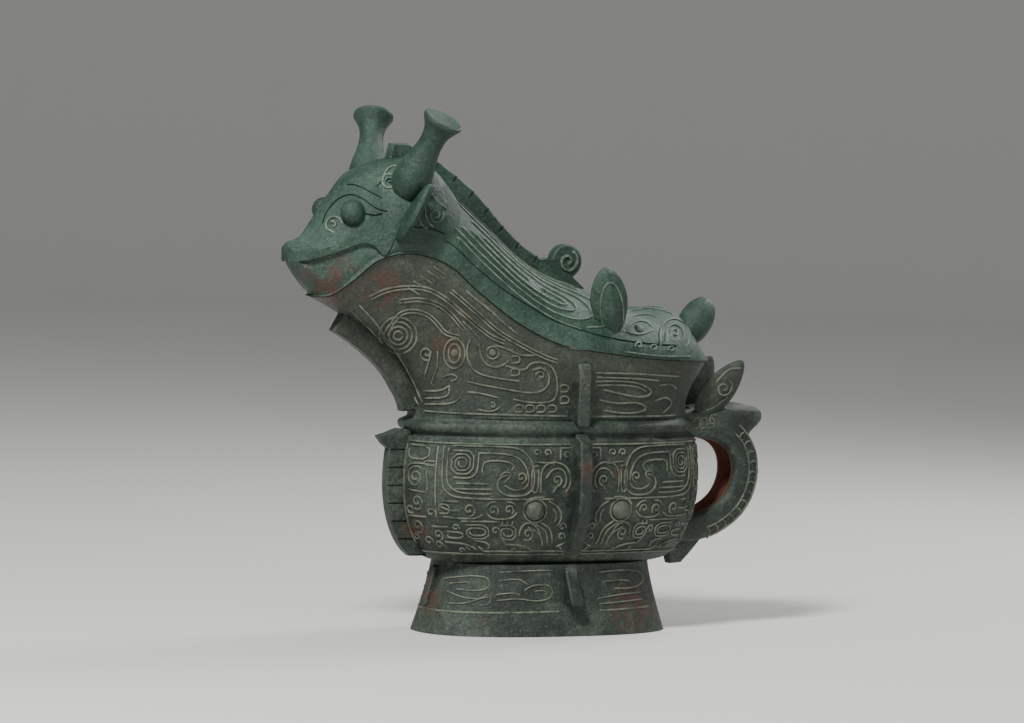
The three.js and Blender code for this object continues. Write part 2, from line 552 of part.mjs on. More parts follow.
function ridge() {
  const top = [[-96.8, 148.7], [-87.8, 148.9], [-70.5, 140.2], [-53.7, 129.1], [-41, 118.2], [-28.3, 105.2],
    [-15.5, 93.9], [-4, 87]];
  const curl = range(9, 0.95, -0.35).map((turn) => aroundCurl(CURL_RADIUS, turn));
  const under = [[24, 70], [12, 70], [-2, 75], [-15, 82], [-28, 92], [-41, 104], [-54, 115], [-70, 124], [-90, 136],
    [-99, 139]];
  const back = new THREE.CatmullRomCurve3(top.slice(1).map(([x, z]) => new THREE.Vector3(x, 0, z)));
  const slits = range(RIDGE_SLITS, 0.08, 0.96).map((share) => {
    const point = back.getPointAt(share);
    const tangent = back.getTangentAt(share);
    return slitPair(point.x, point.z, Math.atan2(-tangent.x, -tangent.z), RIDGE_THICKNESS);
  });
  const volute = range(7, 0, 1).map((share) => aroundCurl(CURL_RADIUS * (0.75 - 0.5 * share), -0.5 - 2.6 * share));
  const face = (x, z) => new THREE.Vector3(x, -RIDGE_THICKNESS / 2, z);
  return plate([...top, ...curl, ...under], RIDGE_THICKNESS).subtract(union(slits))
    .add(mirrored(line(face, volute))).translate([0, 0, NECK_BASE]);
}

// Surfaces of the lid's back and of the head's upper side, for a place along X and a share of the way up
function backSurface(x, share) {
  const drawn = x / (1 - LID_DRAW_IN * Math.sin(share * Math.PI / 2) ** (2 / LID_FULLNESS));
  const along = THREE.MathUtils.clamp(drawn / (x < 0 ? SPOUT_REACH : REAR_REACH), -1, 1);
  return lidPoint(2 * Math.PI - Math.acos(along), share, 0);
}
function headSurface(x, share) {
  const lip = THREE.MathUtils.lerp(NECK_BASE + lipRise(x), THREE.MathUtils.lerp(rimHeight(x), NECK_BASE + headTop(x),
    0.25), THREE.MathUtils.smoothstep(x, -112, -108));
  const turn = share * Math.PI / 2;
  return new THREE.Vector3(x, -headHalfWidth(x) * Math.cos(turn) ** 0.9,
    THREE.MathUtils.lerp(lip, NECK_BASE + headTop(x), Math.sin(turn) ** 0.9));
}

const backLines = [
  [[-76, 0.76], [-58, 0.54], [-32, 0.56], [-8, 0.58], [-3, 0.43], [-16, 0.38]],
  [[56, 0.24], [61, 0.5], [72, 0.6], [82, 0.5], [78, 0.26], [68, 0.3]]];
const browLine = [[-134.4, 0.34], [-130, 0.56], [-121, 0.53], [-112.5, 0.44], [-105, 0.26]];
const backEye = [44.3, 0.42];

function lid() {
  const knob = placed(new THREE.SphereGeometry(1, BALL_SIDES + 2, 7).scale(10, 15, 9.5),
    new THREE.Vector3(REAR_REACH - 4.1, 0, rimHeight(REAR_REACH) + 21.5),
    new THREE.Vector3(REAR_REACH + 1.9, 0, rimHeight(REAR_REACH) + 31.5), new THREE.Vector3(1, 0, 0));
  const carving = union([...backLines.map((path) => line(backSurface, path)),
    mirrored(union([line(headSurface, browLine), boss(backSurface, backEye, 0.7)]))]);
  const outside = union([lidShell(0), headShell(0), headDetails(), carving, ridge(), knob]);
  const hollow = union([lidShell(WALL), headShell(WALL)]);
  return outside.subtract(hollow).subtract(below());
}

// Everything below the lid's seat, so that no part of it reaches into the rim
function below() {
  const rings = [80, -LID_GAP].map((drop) => angles.map((angle) => {
    const edge = rimPoint(angle);
    return new THREE.Vector3(edge.x * 1.001, edge.y + Math.sign(edge.y) * WALL * 2,
      drop > 0 ? NECK_BASE - drop : edge.z + LID_GAP);
  }));
  return solid(skin(rings, toMiddleLine));
}

const TIDY = 0.01;
function meshOf(manifold, name, material) {
  const mesh = manifold.simplify(TIDY).getMesh();
  const geometry = new THREE.BufferGeometry();
  geometry.setAttribute('position', new THREE.BufferAttribute(Float32Array.from(mesh.vertProperties), 3));
  geometry.setIndex(new THREE.BufferAttribute(Uint32Array.from(mesh.triVerts), 1));
  geometry.computeVertexNormals();
  const result = new THREE.Mesh(geometry, material);
  result.name = name;
  return result;
}

const bronze = new THREE.MeshStandardMaterial({ color: 0x3f5a48, roughness: 0.7, metalness: 0.35 });
const darkBronze = new THREE.MeshStandardMaterial({ color: 0x37604a, roughness: 0.68, metalness: 0.35 });

const gong = new THREE.Group();
gong.add(meshOf(vessel(), 'vessel', bronze), meshOf(lid(), 'lid', darkBronze));
const box = new THREE.Box3().setFromObject(gong);
gong.position.set(-(box.min.x + box.max.x) / 2, 0, -box.min.z);
gong.updateMatrixWorld(true);

export default gong;
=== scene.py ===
import math

import bpy
import numpy as np
from mathutils import Matrix, Vector


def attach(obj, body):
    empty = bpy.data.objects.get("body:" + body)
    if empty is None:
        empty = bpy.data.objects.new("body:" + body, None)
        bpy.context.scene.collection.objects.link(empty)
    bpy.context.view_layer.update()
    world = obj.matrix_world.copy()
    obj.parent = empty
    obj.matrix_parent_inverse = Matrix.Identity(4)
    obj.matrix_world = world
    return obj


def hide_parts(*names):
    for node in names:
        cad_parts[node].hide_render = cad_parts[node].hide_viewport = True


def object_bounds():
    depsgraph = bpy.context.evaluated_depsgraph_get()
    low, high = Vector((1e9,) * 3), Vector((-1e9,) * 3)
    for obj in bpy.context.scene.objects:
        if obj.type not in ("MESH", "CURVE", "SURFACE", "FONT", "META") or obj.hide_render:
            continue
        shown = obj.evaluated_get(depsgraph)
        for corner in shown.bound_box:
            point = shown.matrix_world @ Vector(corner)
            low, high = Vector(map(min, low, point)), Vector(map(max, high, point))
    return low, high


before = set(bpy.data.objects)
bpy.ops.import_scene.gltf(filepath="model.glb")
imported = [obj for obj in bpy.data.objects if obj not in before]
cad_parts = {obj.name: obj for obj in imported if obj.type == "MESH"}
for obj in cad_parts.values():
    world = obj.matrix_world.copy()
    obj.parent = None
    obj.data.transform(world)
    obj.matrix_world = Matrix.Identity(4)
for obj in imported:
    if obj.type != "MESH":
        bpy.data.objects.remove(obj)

cad_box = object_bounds()

# Sizes in millimetres, in the drawing's frame: X runs from the vessel's middle, the spout points along -X
WALL = 3.5
FLOOR = 4.0
FOOT_TOP = 39.5
BELLY_HEIGHT = 68.5
WAIST_HEIGHT = 12.0
BELLY_TOP = FOOT_TOP + BELLY_HEIGHT
NECK_BASE = BELLY_TOP + WAIST_HEIGHT
BELLY_CENTRE = 5.5
BELLY_LENGTH = 180.6
BELLY_WIDTH = 85.0
NECK_CENTRE = 4.7
NECK_LENGTH = 165.6
NECK_WIDTH = 77.0
FOOT_CENTRE = 3.0
FOOT_TOP_LENGTH = 128.0
FOOT_TOP_WIDTH = 66.0
FOOT_LENGTH_FLARE = 21.5
FOOT_WIDTH_FLARE = 14.0
RIM_WIDTH = 88.0
SPOUT_REACH = 142.2
REAR_REACH = 101.1
SNOUT_TIP = -158.2
LID_GAP = 0.4
LID_OVERHANG = 1.2
FLANGE_THICKNESS = 7.5
FLANGE_REACH = 8.5
FRONT_REACH = 9.8
FRONT_ROOT = 2.5
SIDE_ROOT = 1.5
NECK_FLANGE_HEIGHT = 32
FLANGE_X = 4.6
HANDLE_WIDTH = 24.0
HANDLE_DEPTH = 16.0
HANDLE_POINTS = [(84, 55.5), (97, 56.5), (109, 61), (119.5, 69), (125.5, 80), (126.5, 92), (122.5, 103),
                 (113, 111), (98, 114.5), (84, 115)]
RIDGE_THICKNESS = 7.5
CURL_CENTRE = (12.5, 205.2)
CURL_RADIUS = 9.3
JAW_INSET = 2.6
HEAD_END = -64
HEAD_HOLLOW_START = -150
EYE_RADIUS = 6.8
BROW_RING = (-85.8, 248.6)
SLIT_LENGTH = 9.0
SLIT_WIDTH = 1.0
SLIT_DEPTH = 1.0

# Leaves: length, width, thickness, keel and bluntness, then base, tip and the way the face looks
HANDLE_EAR = (41, 19, 6, 0, 0.85)
HANDLE_EAR_PLACE = ((95.5, -8.5, 118.5), (119, -18.5, 152), (0.1, -1, 0.1))
LEAF_HORN = (43, 21.5, 6, 3, 1.1)
LEAF_HORN_PLACE = ((26, -36, 164), (14, -45, 205.5), (-0.2, -1, 0))

# Shares and powers: where the belly is widest, and how round the lid's back and the handle's section are
FULLEST = 0.66
LID_FULLNESS = 1.85
HANDLE_POWER = 0.42

SHIFT = np.array([cad_box[0][0] * 1000 - SNOUT_TIP, 0, 0])
MM = 0.001

# How finely rings are drawn
AROUND = 216
HANDLE_STEPS = 72
HANDLE_AROUND = 40
LEAF_STEPS = 28
LEAF_AROUND = 32


# Meshes: closed skins, solids and their joins and cuts
def linked(name, data):
    """A new object in the scene."""
    thing = bpy.data.objects.new(name, data)
    bpy.context.scene.collection.objects.link(thing)
    return thing


def mesh_object(name, points, triangles, shares=None):
    """A named object from points in the drawing's millimetres."""
    mesh = bpy.data.meshes.new(name)
    mesh.from_pydata(((points + SHIFT) * MM).tolist(), [], triangles.tolist())
    for layer_name, values in (shares or {}).items():
        layer = mesh.attributes.new(layer_name, "FLOAT", "POINT")
        layer.data.foreach_set("value", values.astype(np.float32))
    mesh.update()
    return linked(name, mesh)


def triangles_of(mesh):
    mesh.calc_loop_triangles()
    triangles = np.empty(len(mesh.loop_triangles) * 3, dtype=np.int32)
    mesh.loop_triangles.foreach_get("vertices", triangles)
    return triangles.reshape(-1, 3)


def full_turn(count):
    """Angles spread evenly round a circle."""
    return np.arange(count) * 2 * np.pi / count


def signed_power(value, power):
    return np.sign(value) * np.abs(value)**power


def directions(path):
    """The unit direction along a path at each of its points."""
    ahead = np.gradient(path, axis=0)
    return ahead / np.linalg.norm(ahead, axis=1, keepdims=True)


def quads(count, around):
    """The corners of each quad between neighbouring rings, as numbers of points."""
    i, j = np.meshgrid(np.arange(count - 1), np.arange(around), indexing="ij")
    k = (j + 1) % around
    corners = (i * around + j, i * around + k, (i + 1) * around + k, (i + 1) * around + j)
    return np.stack(corners, -1).reshape(-1, 4)


def welded(points, triangles):
    """Merges points that share a place and drops triangles that lose their area."""
    keys = np.round(points, 3)
    unique, first, back = np.unique(keys, axis=0, return_index=True, return_inverse=True)
    triangles = back.reshape(-1)[triangles]
    a, b, c = triangles.T
    triangles = triangles[(a != b) & (b != c) & (c != a)]
    points = points[first]
    corners = points[triangles]
    volume = np.einsum("ij,ij->i", corners[:, 0], np.cross(corners[:, 1], corners[:, 2])).sum()
    return points, triangles if volume > 0 else triangles[:, ::-1]


def to_line(ring):
    return ring * np.array([1, 0, 1])


def to_point(ring):
    return np.repeat(ring.mean(axis=0, keepdims=True), len(ring), axis=0)


def skin(rings, close=to_point):
    """A closed skin over rings of points, closed on each end's middle line or middle point."""
    rings = np.array([close(rings[0]), *rings, close(rings[-1])])
    count, around = rings.shape[:2]
    a, b, c, d = quads(count, around).T
    return welded(rings.reshape(-1, 3), np.concatenate([np.c_[a, b, c], np.c_[a, c, d]]))


def placed(form, base, tip, outward):
    """Turns a form drawn along +Y, with its face to +Z, to run from base to tip with its face outward."""
    points, triangles = form
    base, tip = np.array(base, float), np.array(tip, float)
    along = (tip - base) / np.linalg.norm(tip - base)
    face = np.array(outward, float) - along * np.dot(outward, along)
    face /= np.linalg.norm(face)
    across = np.cross(along, face)
    return points @ np.array([across, along, face]) + base, triangles


def mirror(form):
    points, triangles = form
    return points * np.array([1, -1, 1]), triangles[:, ::-1]


def combined(base, others, operation):
    """Joins solids to a base solid, or cuts them from it."""
    target = mesh_object("work", *base)
    for form in others:
        tool = mesh_object("tool", *form)
        modifier = target.modifiers.new("cut", "BOOLEAN")
        modifier.operation = operation
        modifier.solver = "MANIFOLD"
        modifier.object = tool
        graph = bpy.context.evaluated_depsgraph_get()
        mesh = bpy.data.meshes.new_from_object(target.evaluated_get(graph))
        target.modifiers.clear()
        target.data = mesh
        bpy.data.objects.remove(tool)
    triangles = triangles_of(target.data)
    points = np.empty(len(target.data.vertices) * 3)
    target.data.vertices.foreach_get("co", points)
    bpy.data.objects.remove(target)
    return points.reshape(-1, 3) / MM - SHIFT, triangles


def plate(outline, thickness, across_x=False, x=0.0, bevel=0.9):
    """A bevelled plate: [x, z] points with its thickness along Y, or [y, z] points with it along X."""
    outline = np.array(outline, float)
    following, before = np.roll(outline, -1, axis=0), np.roll(outline, 1, axis=0)
    area = np.sum(outline[:, 0] * following[:, 1] - following[:, 0] * outline[:, 1])
    tangent = following - before
    tangent /= np.linalg.norm(tangent, axis=1, keepdims=True)
    inward = np.c_[-tangent[:, 1], tangent[:, 0]] * np.sign(area)
    rings = []
    edge = 0.5 - bevel / thickness
    for depth, inset in ((-0.5, bevel), (-edge, 0), (edge, 0), (0.5, bevel)):
        flat = outline + inward * inset
        layer = np.full(len(flat), depth * thickness)
        rings.append(np.c_[layer + x, flat] if across_x else np.c_[flat[:, 0], layer, flat[:, 1]])
    points = np.concatenate(rings)
    count = len(outline)
    ends = [list(range(count))[::-1], list(range(3 * count, 4 * count))]
    mesh = bpy.data.meshes.new("plate")
    mesh.from_pydata(points.tolist(), [], [*quads(4, count).tolist(), *ends])
    triangles = triangles_of(mesh)
    bpy.data.meshes.remove(mesh)
    return welded(points, triangles)


# Heights and widths along the vessel, each smooth through a few points
def through(*points):
    """A smooth function of x through [x, value] points, level beyond its ends."""
    points = np.array(points, float)
    last = len(points) - 1
    before, after = np.maximum(np.arange(last + 1) - 1, 0), np.minimum(np.arange(last + 1) + 1, last)
    slopes = (points[after, 1] - points[before, 1]) / (points[after, 0] - points[before, 0])

    def value(x):
        i = np.clip(np.searchsorted(points[:, 0], x, side="right") - 1, 0, last - 1)
        span = points[i + 1, 0] - points[i, 0]
        t = np.clip((x - points[i, 0]) / span, 0, 1)
        return ((2 * t**3 - 3 * t**2 + 1) * points[i, 1] + (t**3 - 2 * t**2 + t) * span * slopes[i]
                + (3 * t**2 - 2 * t**3) * points[i + 1, 1] + (t**3 - t**2) * span * slopes[i + 1])
    return value


rim_rise = through((-SPOUT_REACH, 64.5), (-136, 65.5), (-127, 73), (-113.5, 85.5), (-96, 89.4),
                   (-76, 83.7), (-59, 69.6), (-36, 53), (-11, 41.3), (13.6, 37), (49, 33), (95, 30.5),
                   (REAR_REACH, 30.5))
back_rise = through((-140, 76), (-120, 102), (-95, 126), (-80, 131), (-70, 127), (-54, 116), (-41, 105),
                    (-28, 93.5), (-15, 84), (-2, 78), (12, 73.5), (30, 67), (45, 61), (60, 60), (74, 60),
                    (86, 54.5), (95, 46))
head_top = through((-158.4, 92.5), (-157.5, 94), (-152, 96), (-148, 98.5), (-142.3, 107.4),
                   (-134.9, 118.2), (-123.4, 130.8), (-113, 136.5), (-99, 140.5), (-86, 141), (-76, 137),
                   (-66, 127), (-58, 117))
head_half = through((-158.4, 4.5), (-156, 9), (-151, 13), (-144, 15.5), (-137, 18), (-128, 21),
                    (-118, 25.5), (-108, 30), (-98, 33), (-86, 34), (-76, 33), (-66, 30), (-58, 27))
lip_rise = through((-158.4, 84), (-150, 85), (-140, 88), (-130, 92), (-122, 95), (-116, 93), (-111, 86),
                   (-108, 84))
corner_rise = through((-158.4, 90.8), (-153, 89.6), (-142, 91.6), (-133, 95.4), (-122, 99.5), (-117, 97),
                      (-112, 90), (-108, 85))
jaw_rise = through((-154, 83.5), (-151, 76.1), (-146.5, 69.8), (-142.2, 66.5))


def rim_height(x):
    return NECK_BASE + rim_rise(x)


def smooth(low, high, x):
    """0 at low and 1 at high, whichever of them is the larger."""
    t = np.clip((x - low) / (high - low), 0, 1)
    return t * t * (3 - 2 * t)


def mix(a, b, share):
    return a + (b - a) * share


# The body's levels, each a superellipse: (z, centre, length, width, fullness)
def plan_point(angle, z, centre, length, width, fullness):
    power = 2 / fullness
    x = centre + length / 2 * signed_power(np.cos(angle), power)
    y = width / 2 * signed_power(np.sin(angle), power)
    return np.stack(np.broadcast_arrays(x, y, z), -1)


def foot_level(share, inset=0):
    flare = (1 - share)**1.25
    length = FOOT_TOP_LENGTH + FOOT_LENGTH_FLARE * flare - 2 * inset
    width = FOOT_TOP_WIDTH + FOOT_WIDTH_FLARE * flare - 2 * inset
    return FOOT_TOP * share, FOOT_CENTRE, length, width, 2.4


def belly_level(share, inset=0):
    below = np.maximum(0, (FULLEST - share) / FULLEST)
    above = np.maximum(0, (share - FULLEST) / (1 - FULLEST))
    taper = 24 * (1 - np.sqrt(1 - below * below)) + 2.3 * above * above
    length, width = BELLY_LENGTH - 2 * taper - 2 * inset, BELLY_WIDTH - 1.3 * taper - 2 * inset
    return FOOT_TOP + BELLY_HEIGHT * share, BELLY_CENTRE, length, width, 2.5


waist_inset = through((0, 2.3), (0.1, 4.6), (0.24, 5.2), (0.34, 3.2), (0.45, 2.1), (0.6, 1.8), (0.74, 3),
                      (0.86, 6.6), (0.94, 7.4), (1, 7.5))


def waist_level(share):
    inset = waist_inset(share)
    centre = mix(BELLY_CENTRE, NECK_CENTRE, share)
    length, width = BELLY_LENGTH - 2 * inset, BELLY_WIDTH - 1.3 * inset
    return BELLY_TOP + WAIST_HEIGHT * share, centre, length, width, 2.45


def rim_point(angle):
    """A point of the mouth's rim, which narrows a little towards the spout."""
    along = np.cos(angle)
    x = np.where(along > 0, REAR_REACH, SPOUT_REACH) * along
    narrowing = np.where(along < 0, 1 - 0.08 * np.sin(-np.pi * along), 1)
    return np.stack([x, RIM_WIDTH / 2 * np.sin(angle) * narrowing, rim_height(x)], -1)


def neck_point(angle, share, inset=0):
    """A point between the neck's base at 0 and the rim at 1. The spout opens late, the rear in an S."""
    base = plan_point(angle, NECK_BASE, NECK_CENTRE, NECK_LENGTH, NECK_WIDTH, 2.4)
    rim = rim_point(angle)
    rearward = (1 + np.cos(angle)) / 2
    share = np.clip(share, 0, 1)
    spread = mix(share**2.2, 1 - (1 - share**2.6)**1.6, rearward)
    point = np.stack([mix(base[..., 0], rim[..., 0], spread), mix(base[..., 1], rim[..., 1], spread),
                      mix(NECK_BASE, rim[..., 2], share)], -1)
    return point if inset == 0 else point - inset * surface_normal(neck_point, angle, share)


def surface_normal(surface, u, v, small=0.002):
    du = surface(u + small, v) - surface(u - small, v)
    dv = surface(u, np.minimum(v + small, 1)) - surface(u, v - small)
    normal = np.cross(du, dv)
    return normal / np.maximum(np.linalg.norm(normal, axis=-1, keepdims=True), 1e-9)


ANGLES = full_turn(AROUND)


def ring(level):
    return plan_point(ANGLES, *level)


def body():
    """Foot, belly, waist and neck, hollow from the floor up and under the foot."""
    foot = [ring(foot_level(share)) for share in (0, 0.004, *np.linspace(0.02, 0.99, 12))]
    foot[0] = foot[0] * np.array([0.994, 0.99, 1])
    belly_shares = (0.001, 0.012, 0.03, 0.06, *np.linspace(0.1, 0.98, 22), 0.995)
    belly = [ring(belly_level(share)) for share in belly_shares]
    waist = [ring(waist_level(share)) for share in np.linspace(0.01, 0.97, 18)]
    neck = [neck_point(ANGLES, share) for share in np.linspace(0, 1, 28)]
    outside = skin([*foot, *belly, *waist, *neck], to_line)
    floor = plan_point(ANGLES, FOOT_TOP + FLOOR, *belly_level(0.07, WALL)[1:])
    hollow = [floor, *[ring(belly_level(share, WALL)) for share in (0.1, 0.16, 0.25, 0.4, 0.66, 0.85, 1)],
              *[neck_point(ANGLES, share, WALL) for share in np.linspace(0.03, 1, 14)]]
    hollow.append(hollow[-1] + np.array([0, 0, WALL]))
    under = [ring((-WALL, *foot_level(0, WALL)[1:]))]
    under += [ring(foot_level(share, WALL)) for share in (0, 0.3, 0.6, 0.98)]
    return outside, [skin(hollow, to_line), skin(under, to_line)]


# Flanges, with slits across them
def slit_pair(x, z, slant, thickness):
    """Cutters for one slit, in both faces of a flange."""
    along = np.array([math.cos(slant), -math.sin(slant)]) * SLIT_LENGTH / 2
    across = np.array([math.sin(slant), math.cos(slant)]) * SLIT_WIDTH / 2
    corners = [np.array([x, z]) + a * along + b * across for a, b in ((-1, -1), (1, -1), (1, 1), (-1, 1))]
    points, triangles = plate(corners, 2 * SLIT_DEPTH, bevel=0.05)
    return [(points + np.array([0, side * thickness / 2, 0]), triangles) for side in (-1, 1)]


def front_of(level):
    """The x and z of a level's outline at the front."""
    return level[1] - level[2] / 2, level[0]


def front_flanges():
    shares = np.linspace(0.04, 0.86, 24)
    line = neck_point(np.pi, shares)[:, [0, 2]]
    ahead = directions(line)
    out = np.c_[-ahead[:, 1], ahead[:, 0]]
    reach = (FRONT_REACH + 1) * np.minimum(1, 0.7 + shares)[:, None]
    neck = [*(line + out * reach), *(line - out * WALL * 0.8)[::-1]]
    front = [front_of(belly_level(share)) for share in np.linspace(0.95, 0.04, 22)]
    crown, _ = front_of(belly_level(1))
    belly = [(crown - 17.5, BELLY_TOP + 0.5), (crown - 14.5, BELLY_TOP - 3.5),
             *[(x - FRONT_REACH, z) for x, z in front[1:]], (front[-1][0] + WALL, front[-1][1]),
             *[(x + FRONT_ROOT, z) for x, z in front[::-1]], (crown + FRONT_ROOT, BELLY_TOP + 4),
             (crown - 5.5, BELLY_TOP + 4.5), (crown - 12, BELLY_TOP + 2)]
    root = -WALL * 0.8
    foot = []
    for share, out_by in ((0.94, root), (0.92, 2), (0.5, 2.5), (0.38, 1.2), (0.36, -1), (0.5, root)):
        x, z = front_of(foot_level(share))
        foot.append((x - out_by, z))
    slits = []
    for share in np.linspace(0.9, 0.18, 6):
        x, z = front_of(belly_level(share))
        slits += slit_pair(x - FRONT_REACH / 2, z, 0, FLANGE_THICKNESS)
    belly_plate = combined(plate(belly, FLANGE_THICKNESS), slits, "DIFFERENCE")
    return [plate(neck, FLANGE_THICKNESS), belly_plate, plate(foot, FLANGE_THICKNESS * 0.7)]


def side_flanges():
    """Three flanges on each side. The belly's has a small slot near its top."""
    def half(share):
        return belly_level(share)[3] / 2
    shares = np.linspace(0.13, 1, 20)
    belly = [*[(-(half(s) + FLANGE_REACH * min(1, 0.25 + 2 * s)), belly_level(s)[0]) for s in shares],
             (-half(1) - 1, BELLY_TOP + 4), (-half(1) + WALL, BELLY_TOP),
             *[(SIDE_ROOT - half(s), belly_level(s)[0]) for s in shares[-2::-1]]]
    neck_half = NECK_WIDTH / 2
    neck_top = NECK_BASE + NECK_FLANGE_HEIGHT
    neck = [(-neck_half + SIDE_ROOT, NECK_BASE - 1), (-neck_half - 6, NECK_BASE - 3.5),
            (-neck_half - 7, NECK_BASE - 1), (-neck_half - 7.5, neck_top - 6), (-neck_half - 5, neck_top - 1),
            (-neck_half + SIDE_ROOT, neck_top)]

    def foot_half(share):
        return foot_level(share)[3] / 2
    foot = [(-foot_half(0.95) + 1.5, FOOT_TOP * 0.95), (-foot_half(0.95) - 2, FOOT_TOP * 0.95),
            (-foot_half(0.5) - 8.5, FOOT_TOP * 0.5), (-foot_half(0.44) - 8, FOOT_TOP * 0.44),
            (-foot_half(0.44) + 1, FOOT_TOP * 0.44)]
    near = [plate(outline, FLANGE_THICKNESS, True, FLANGE_X) for outline in (belly, neck, foot)]
    slot = [(-half(1) - 7, BELLY_TOP - 12), (-half(1) - 1, BELLY_TOP - 12), (-half(1) - 1, BELLY_TOP - 2),
            (-half(1) - 7, BELLY_TOP - 2)]
    cutter = plate(slot, 2.6, True, FLANGE_X + FLANGE_THICKNESS / 2, 0.05)
    near[0] = combined(near[0], [cutter], "DIFFERENCE")
    return [*near, *[mirror(form) for form in near]]


# The handle
def smooth_path(points, count):
    """A Catmull-Rom curve through points, as evenly spaced points."""
    points = np.array(points, float)
    padded = np.concatenate([[2 * points[0] - points[1]], points, [2 * points[-1] - points[-2]]])
    t = np.linspace(0, 1, 24, endpoint=False)[:, None]
    fine = []
    for a, b, c, d in zip(padded, padded[1:], padded[2:], padded[3:]):
        fine.append(0.5 * (2 * b + (c - a) * t + (2 * a - 5 * b + 4 * c - d) * t**2
                           + (3 * b - a - 3 * c + d) * t**3))
    fine = np.concatenate([*fine, points[-1:]])
    length = np.r_[0, np.cumsum(np.linalg.norm(np.diff(fine, axis=0), axis=1))]
    even = np.linspace(0, length[-1], count)
    return np.stack([np.interp(even, length, fine[:, k]) for k in range(fine.shape[1])], -1)


def handle_path(count):
    """Points along the handle's loop, and the way out from the loop at each."""
    path = smooth_path(HANDLE_POINTS, count)
    ahead = directions(path)
    return path, np.c_[ahead[:, 1], -ahead[:, 0]]


def sweep(width, depth, offset):
    """A bar with rounded edges along the handle's loop, moved out from it by an offset."""
    path, outward = handle_path(HANDLE_STEPS)
    turn = full_turn(HANDLE_AROUND)
    u = signed_power(np.cos(turn), HANDLE_POWER) * depth / 2 + offset
    v = signed_power(np.sin(turn), HANDLE_POWER) * width / 2
    return skin([np.stack([p[0] + o[0] * u, v, p[1] + o[1] * u], -1) for p, o in zip(path, outward)])


def leaf_face(thickness, keel, share):
    """The height of a leaf's keeled face, by the share of the way out from its middle line."""
    return (thickness / 2 + keel) * (1 - share)**0.85 + 0.6


def leaf(length, width, thickness, keel, blunt):
    """A leaf along +Y with a keel on its +Z face."""
    turn = full_turn(LEAF_AROUND)
    u = np.cos(turn)
    back = -(thickness * 0.3) * (1 - u * u)**0.5 - 0.3
    peak = np.where(np.sin(turn) > 0, leaf_face(thickness, keel, np.abs(u)), back)
    rings = []
    for share in np.linspace(0.02, 0.992, LEAF_STEPS):
        spread = math.sin(math.pi * share**blunt)**0.6
        along = np.full(LEAF_AROUND, share * length)
        rings.append(np.stack([u * width / 2 * spread, along, peak * spread**0.7], -1))
    return skin(rings)


def handle():
    """The loop with a channel along its inside, a beast's head with two ears on it, and a tag below."""
    channel = sweep(15, 14, -HANDLE_DEPTH / 2)
    stations = smooth_path([(92, 106, 124, 9), (104, 106, 125.5, 12.5), (115, 104, 126.5, 13.5),
                            (125, 103, 126, 11.5), (131, 109, 124.5, 9.5), (136, 113, 123.5, 7.5),
                            (139.2, 115.5, 121.5, 4.5)], 40)
    around = 32
    turn = full_turn(around)
    v = signed_power(np.cos(turn), 0.6)
    w = 0.5 + 0.5 * signed_power(np.sin(turn), 0.6)
    head = skin([np.stack([np.full(around, x), v * half, mix(low, high, w)], -1)
                 for x, low, high, half in stations])
    ear = placed(leaf(*HANDLE_EAR), *HANDLE_EAR_PLACE)
    tag = plate([(80, 48), (84, 35.5), (91, 36), (97, 42), (104, 50), (90, 54)], FLANGE_THICKNESS)
    joined = combined(sweep(HANDLE_WIDTH, HANDLE_DEPTH, 0), [head, ear, mirror(ear), tag], "UNION")
    return combined(joined, [channel], "DIFFERENCE")


# The lid: back, head, horns, ears, ridge and knob
def lid_point(angle, share, thin=0):
    """A point of the lid's back, from its edge on the rim at 0 to the ridge line at 1."""
    edge = rim_point(angle)
    outward = LID_OVERHANG - thin
    turn = np.clip(share, 0, 1) * np.pi / 2
    rise = np.sin(turn)**(2 / LID_FULLNESS)
    x = (edge[..., 0] + outward * np.cos(angle)) * (1 - 0.1 * rise)
    floor = rim_height(edge[..., 0]) + LID_GAP
    top = np.maximum(NECK_BASE + back_rise(x) - thin * 1.3, floor + 1)
    wide = edge[..., 1] + np.sign(edge[..., 1]) * np.minimum(outward, np.abs(edge[..., 1]))
    return np.stack([x, wide * np.abs(np.cos(turn))**(2 / LID_FULLNESS), mix(floor, top, rise)], -1)


def lid_shell(thin, steps):
    rings = [lid_point(ANGLES, share, thin) for share in np.linspace(0, 1, steps)]
    rings[-1][:, 1] = 0
    if thin > 0:
        rings.insert(0, rings[0] - np.array([0, 0, WALL]))
    return skin(rings, to_line)


def rim_half_width(x):
    """Half of the rim's width at a length along the vessel."""
    along = np.clip(x / np.where(x < 0, SPOUT_REACH, REAR_REACH), -1, 1)
    return rim_point(np.arccos(along))[..., 1]


def head_lip(x, bottom, top):
    """The height of the lip over the open jaw, and how far the jaw lies in from it."""
    cheek = smooth(-114, -104, x)
    return mix(NECK_BASE + lip_rise(x), mix(bottom, top, 0.25), cheek), JAW_INSET * (1 - cheek)


def head_corner(x, lip, top):
    """The crisp upper edge of the lip, which runs out in the cheek."""
    corner = np.minimum(NECK_BASE + corner_rise(x), top - 0.6)
    return mix(np.maximum(corner, lip + 0.5), lip + 0.5, smooth(-116, -106, x))


def head_arch(x, half, corner, top, turn):
    """Out and up on the arch over the corner: hollow over the lip's ledge, and full on the skull."""
    skull = smooth(-140, -119, x)
    out, rise = mix(1.35, 0.9, skull), mix(2.1, 0.9, skull)
    return half * np.maximum(np.cos(turn), 0)**out, mix(corner, top, np.sin(turn)**rise)


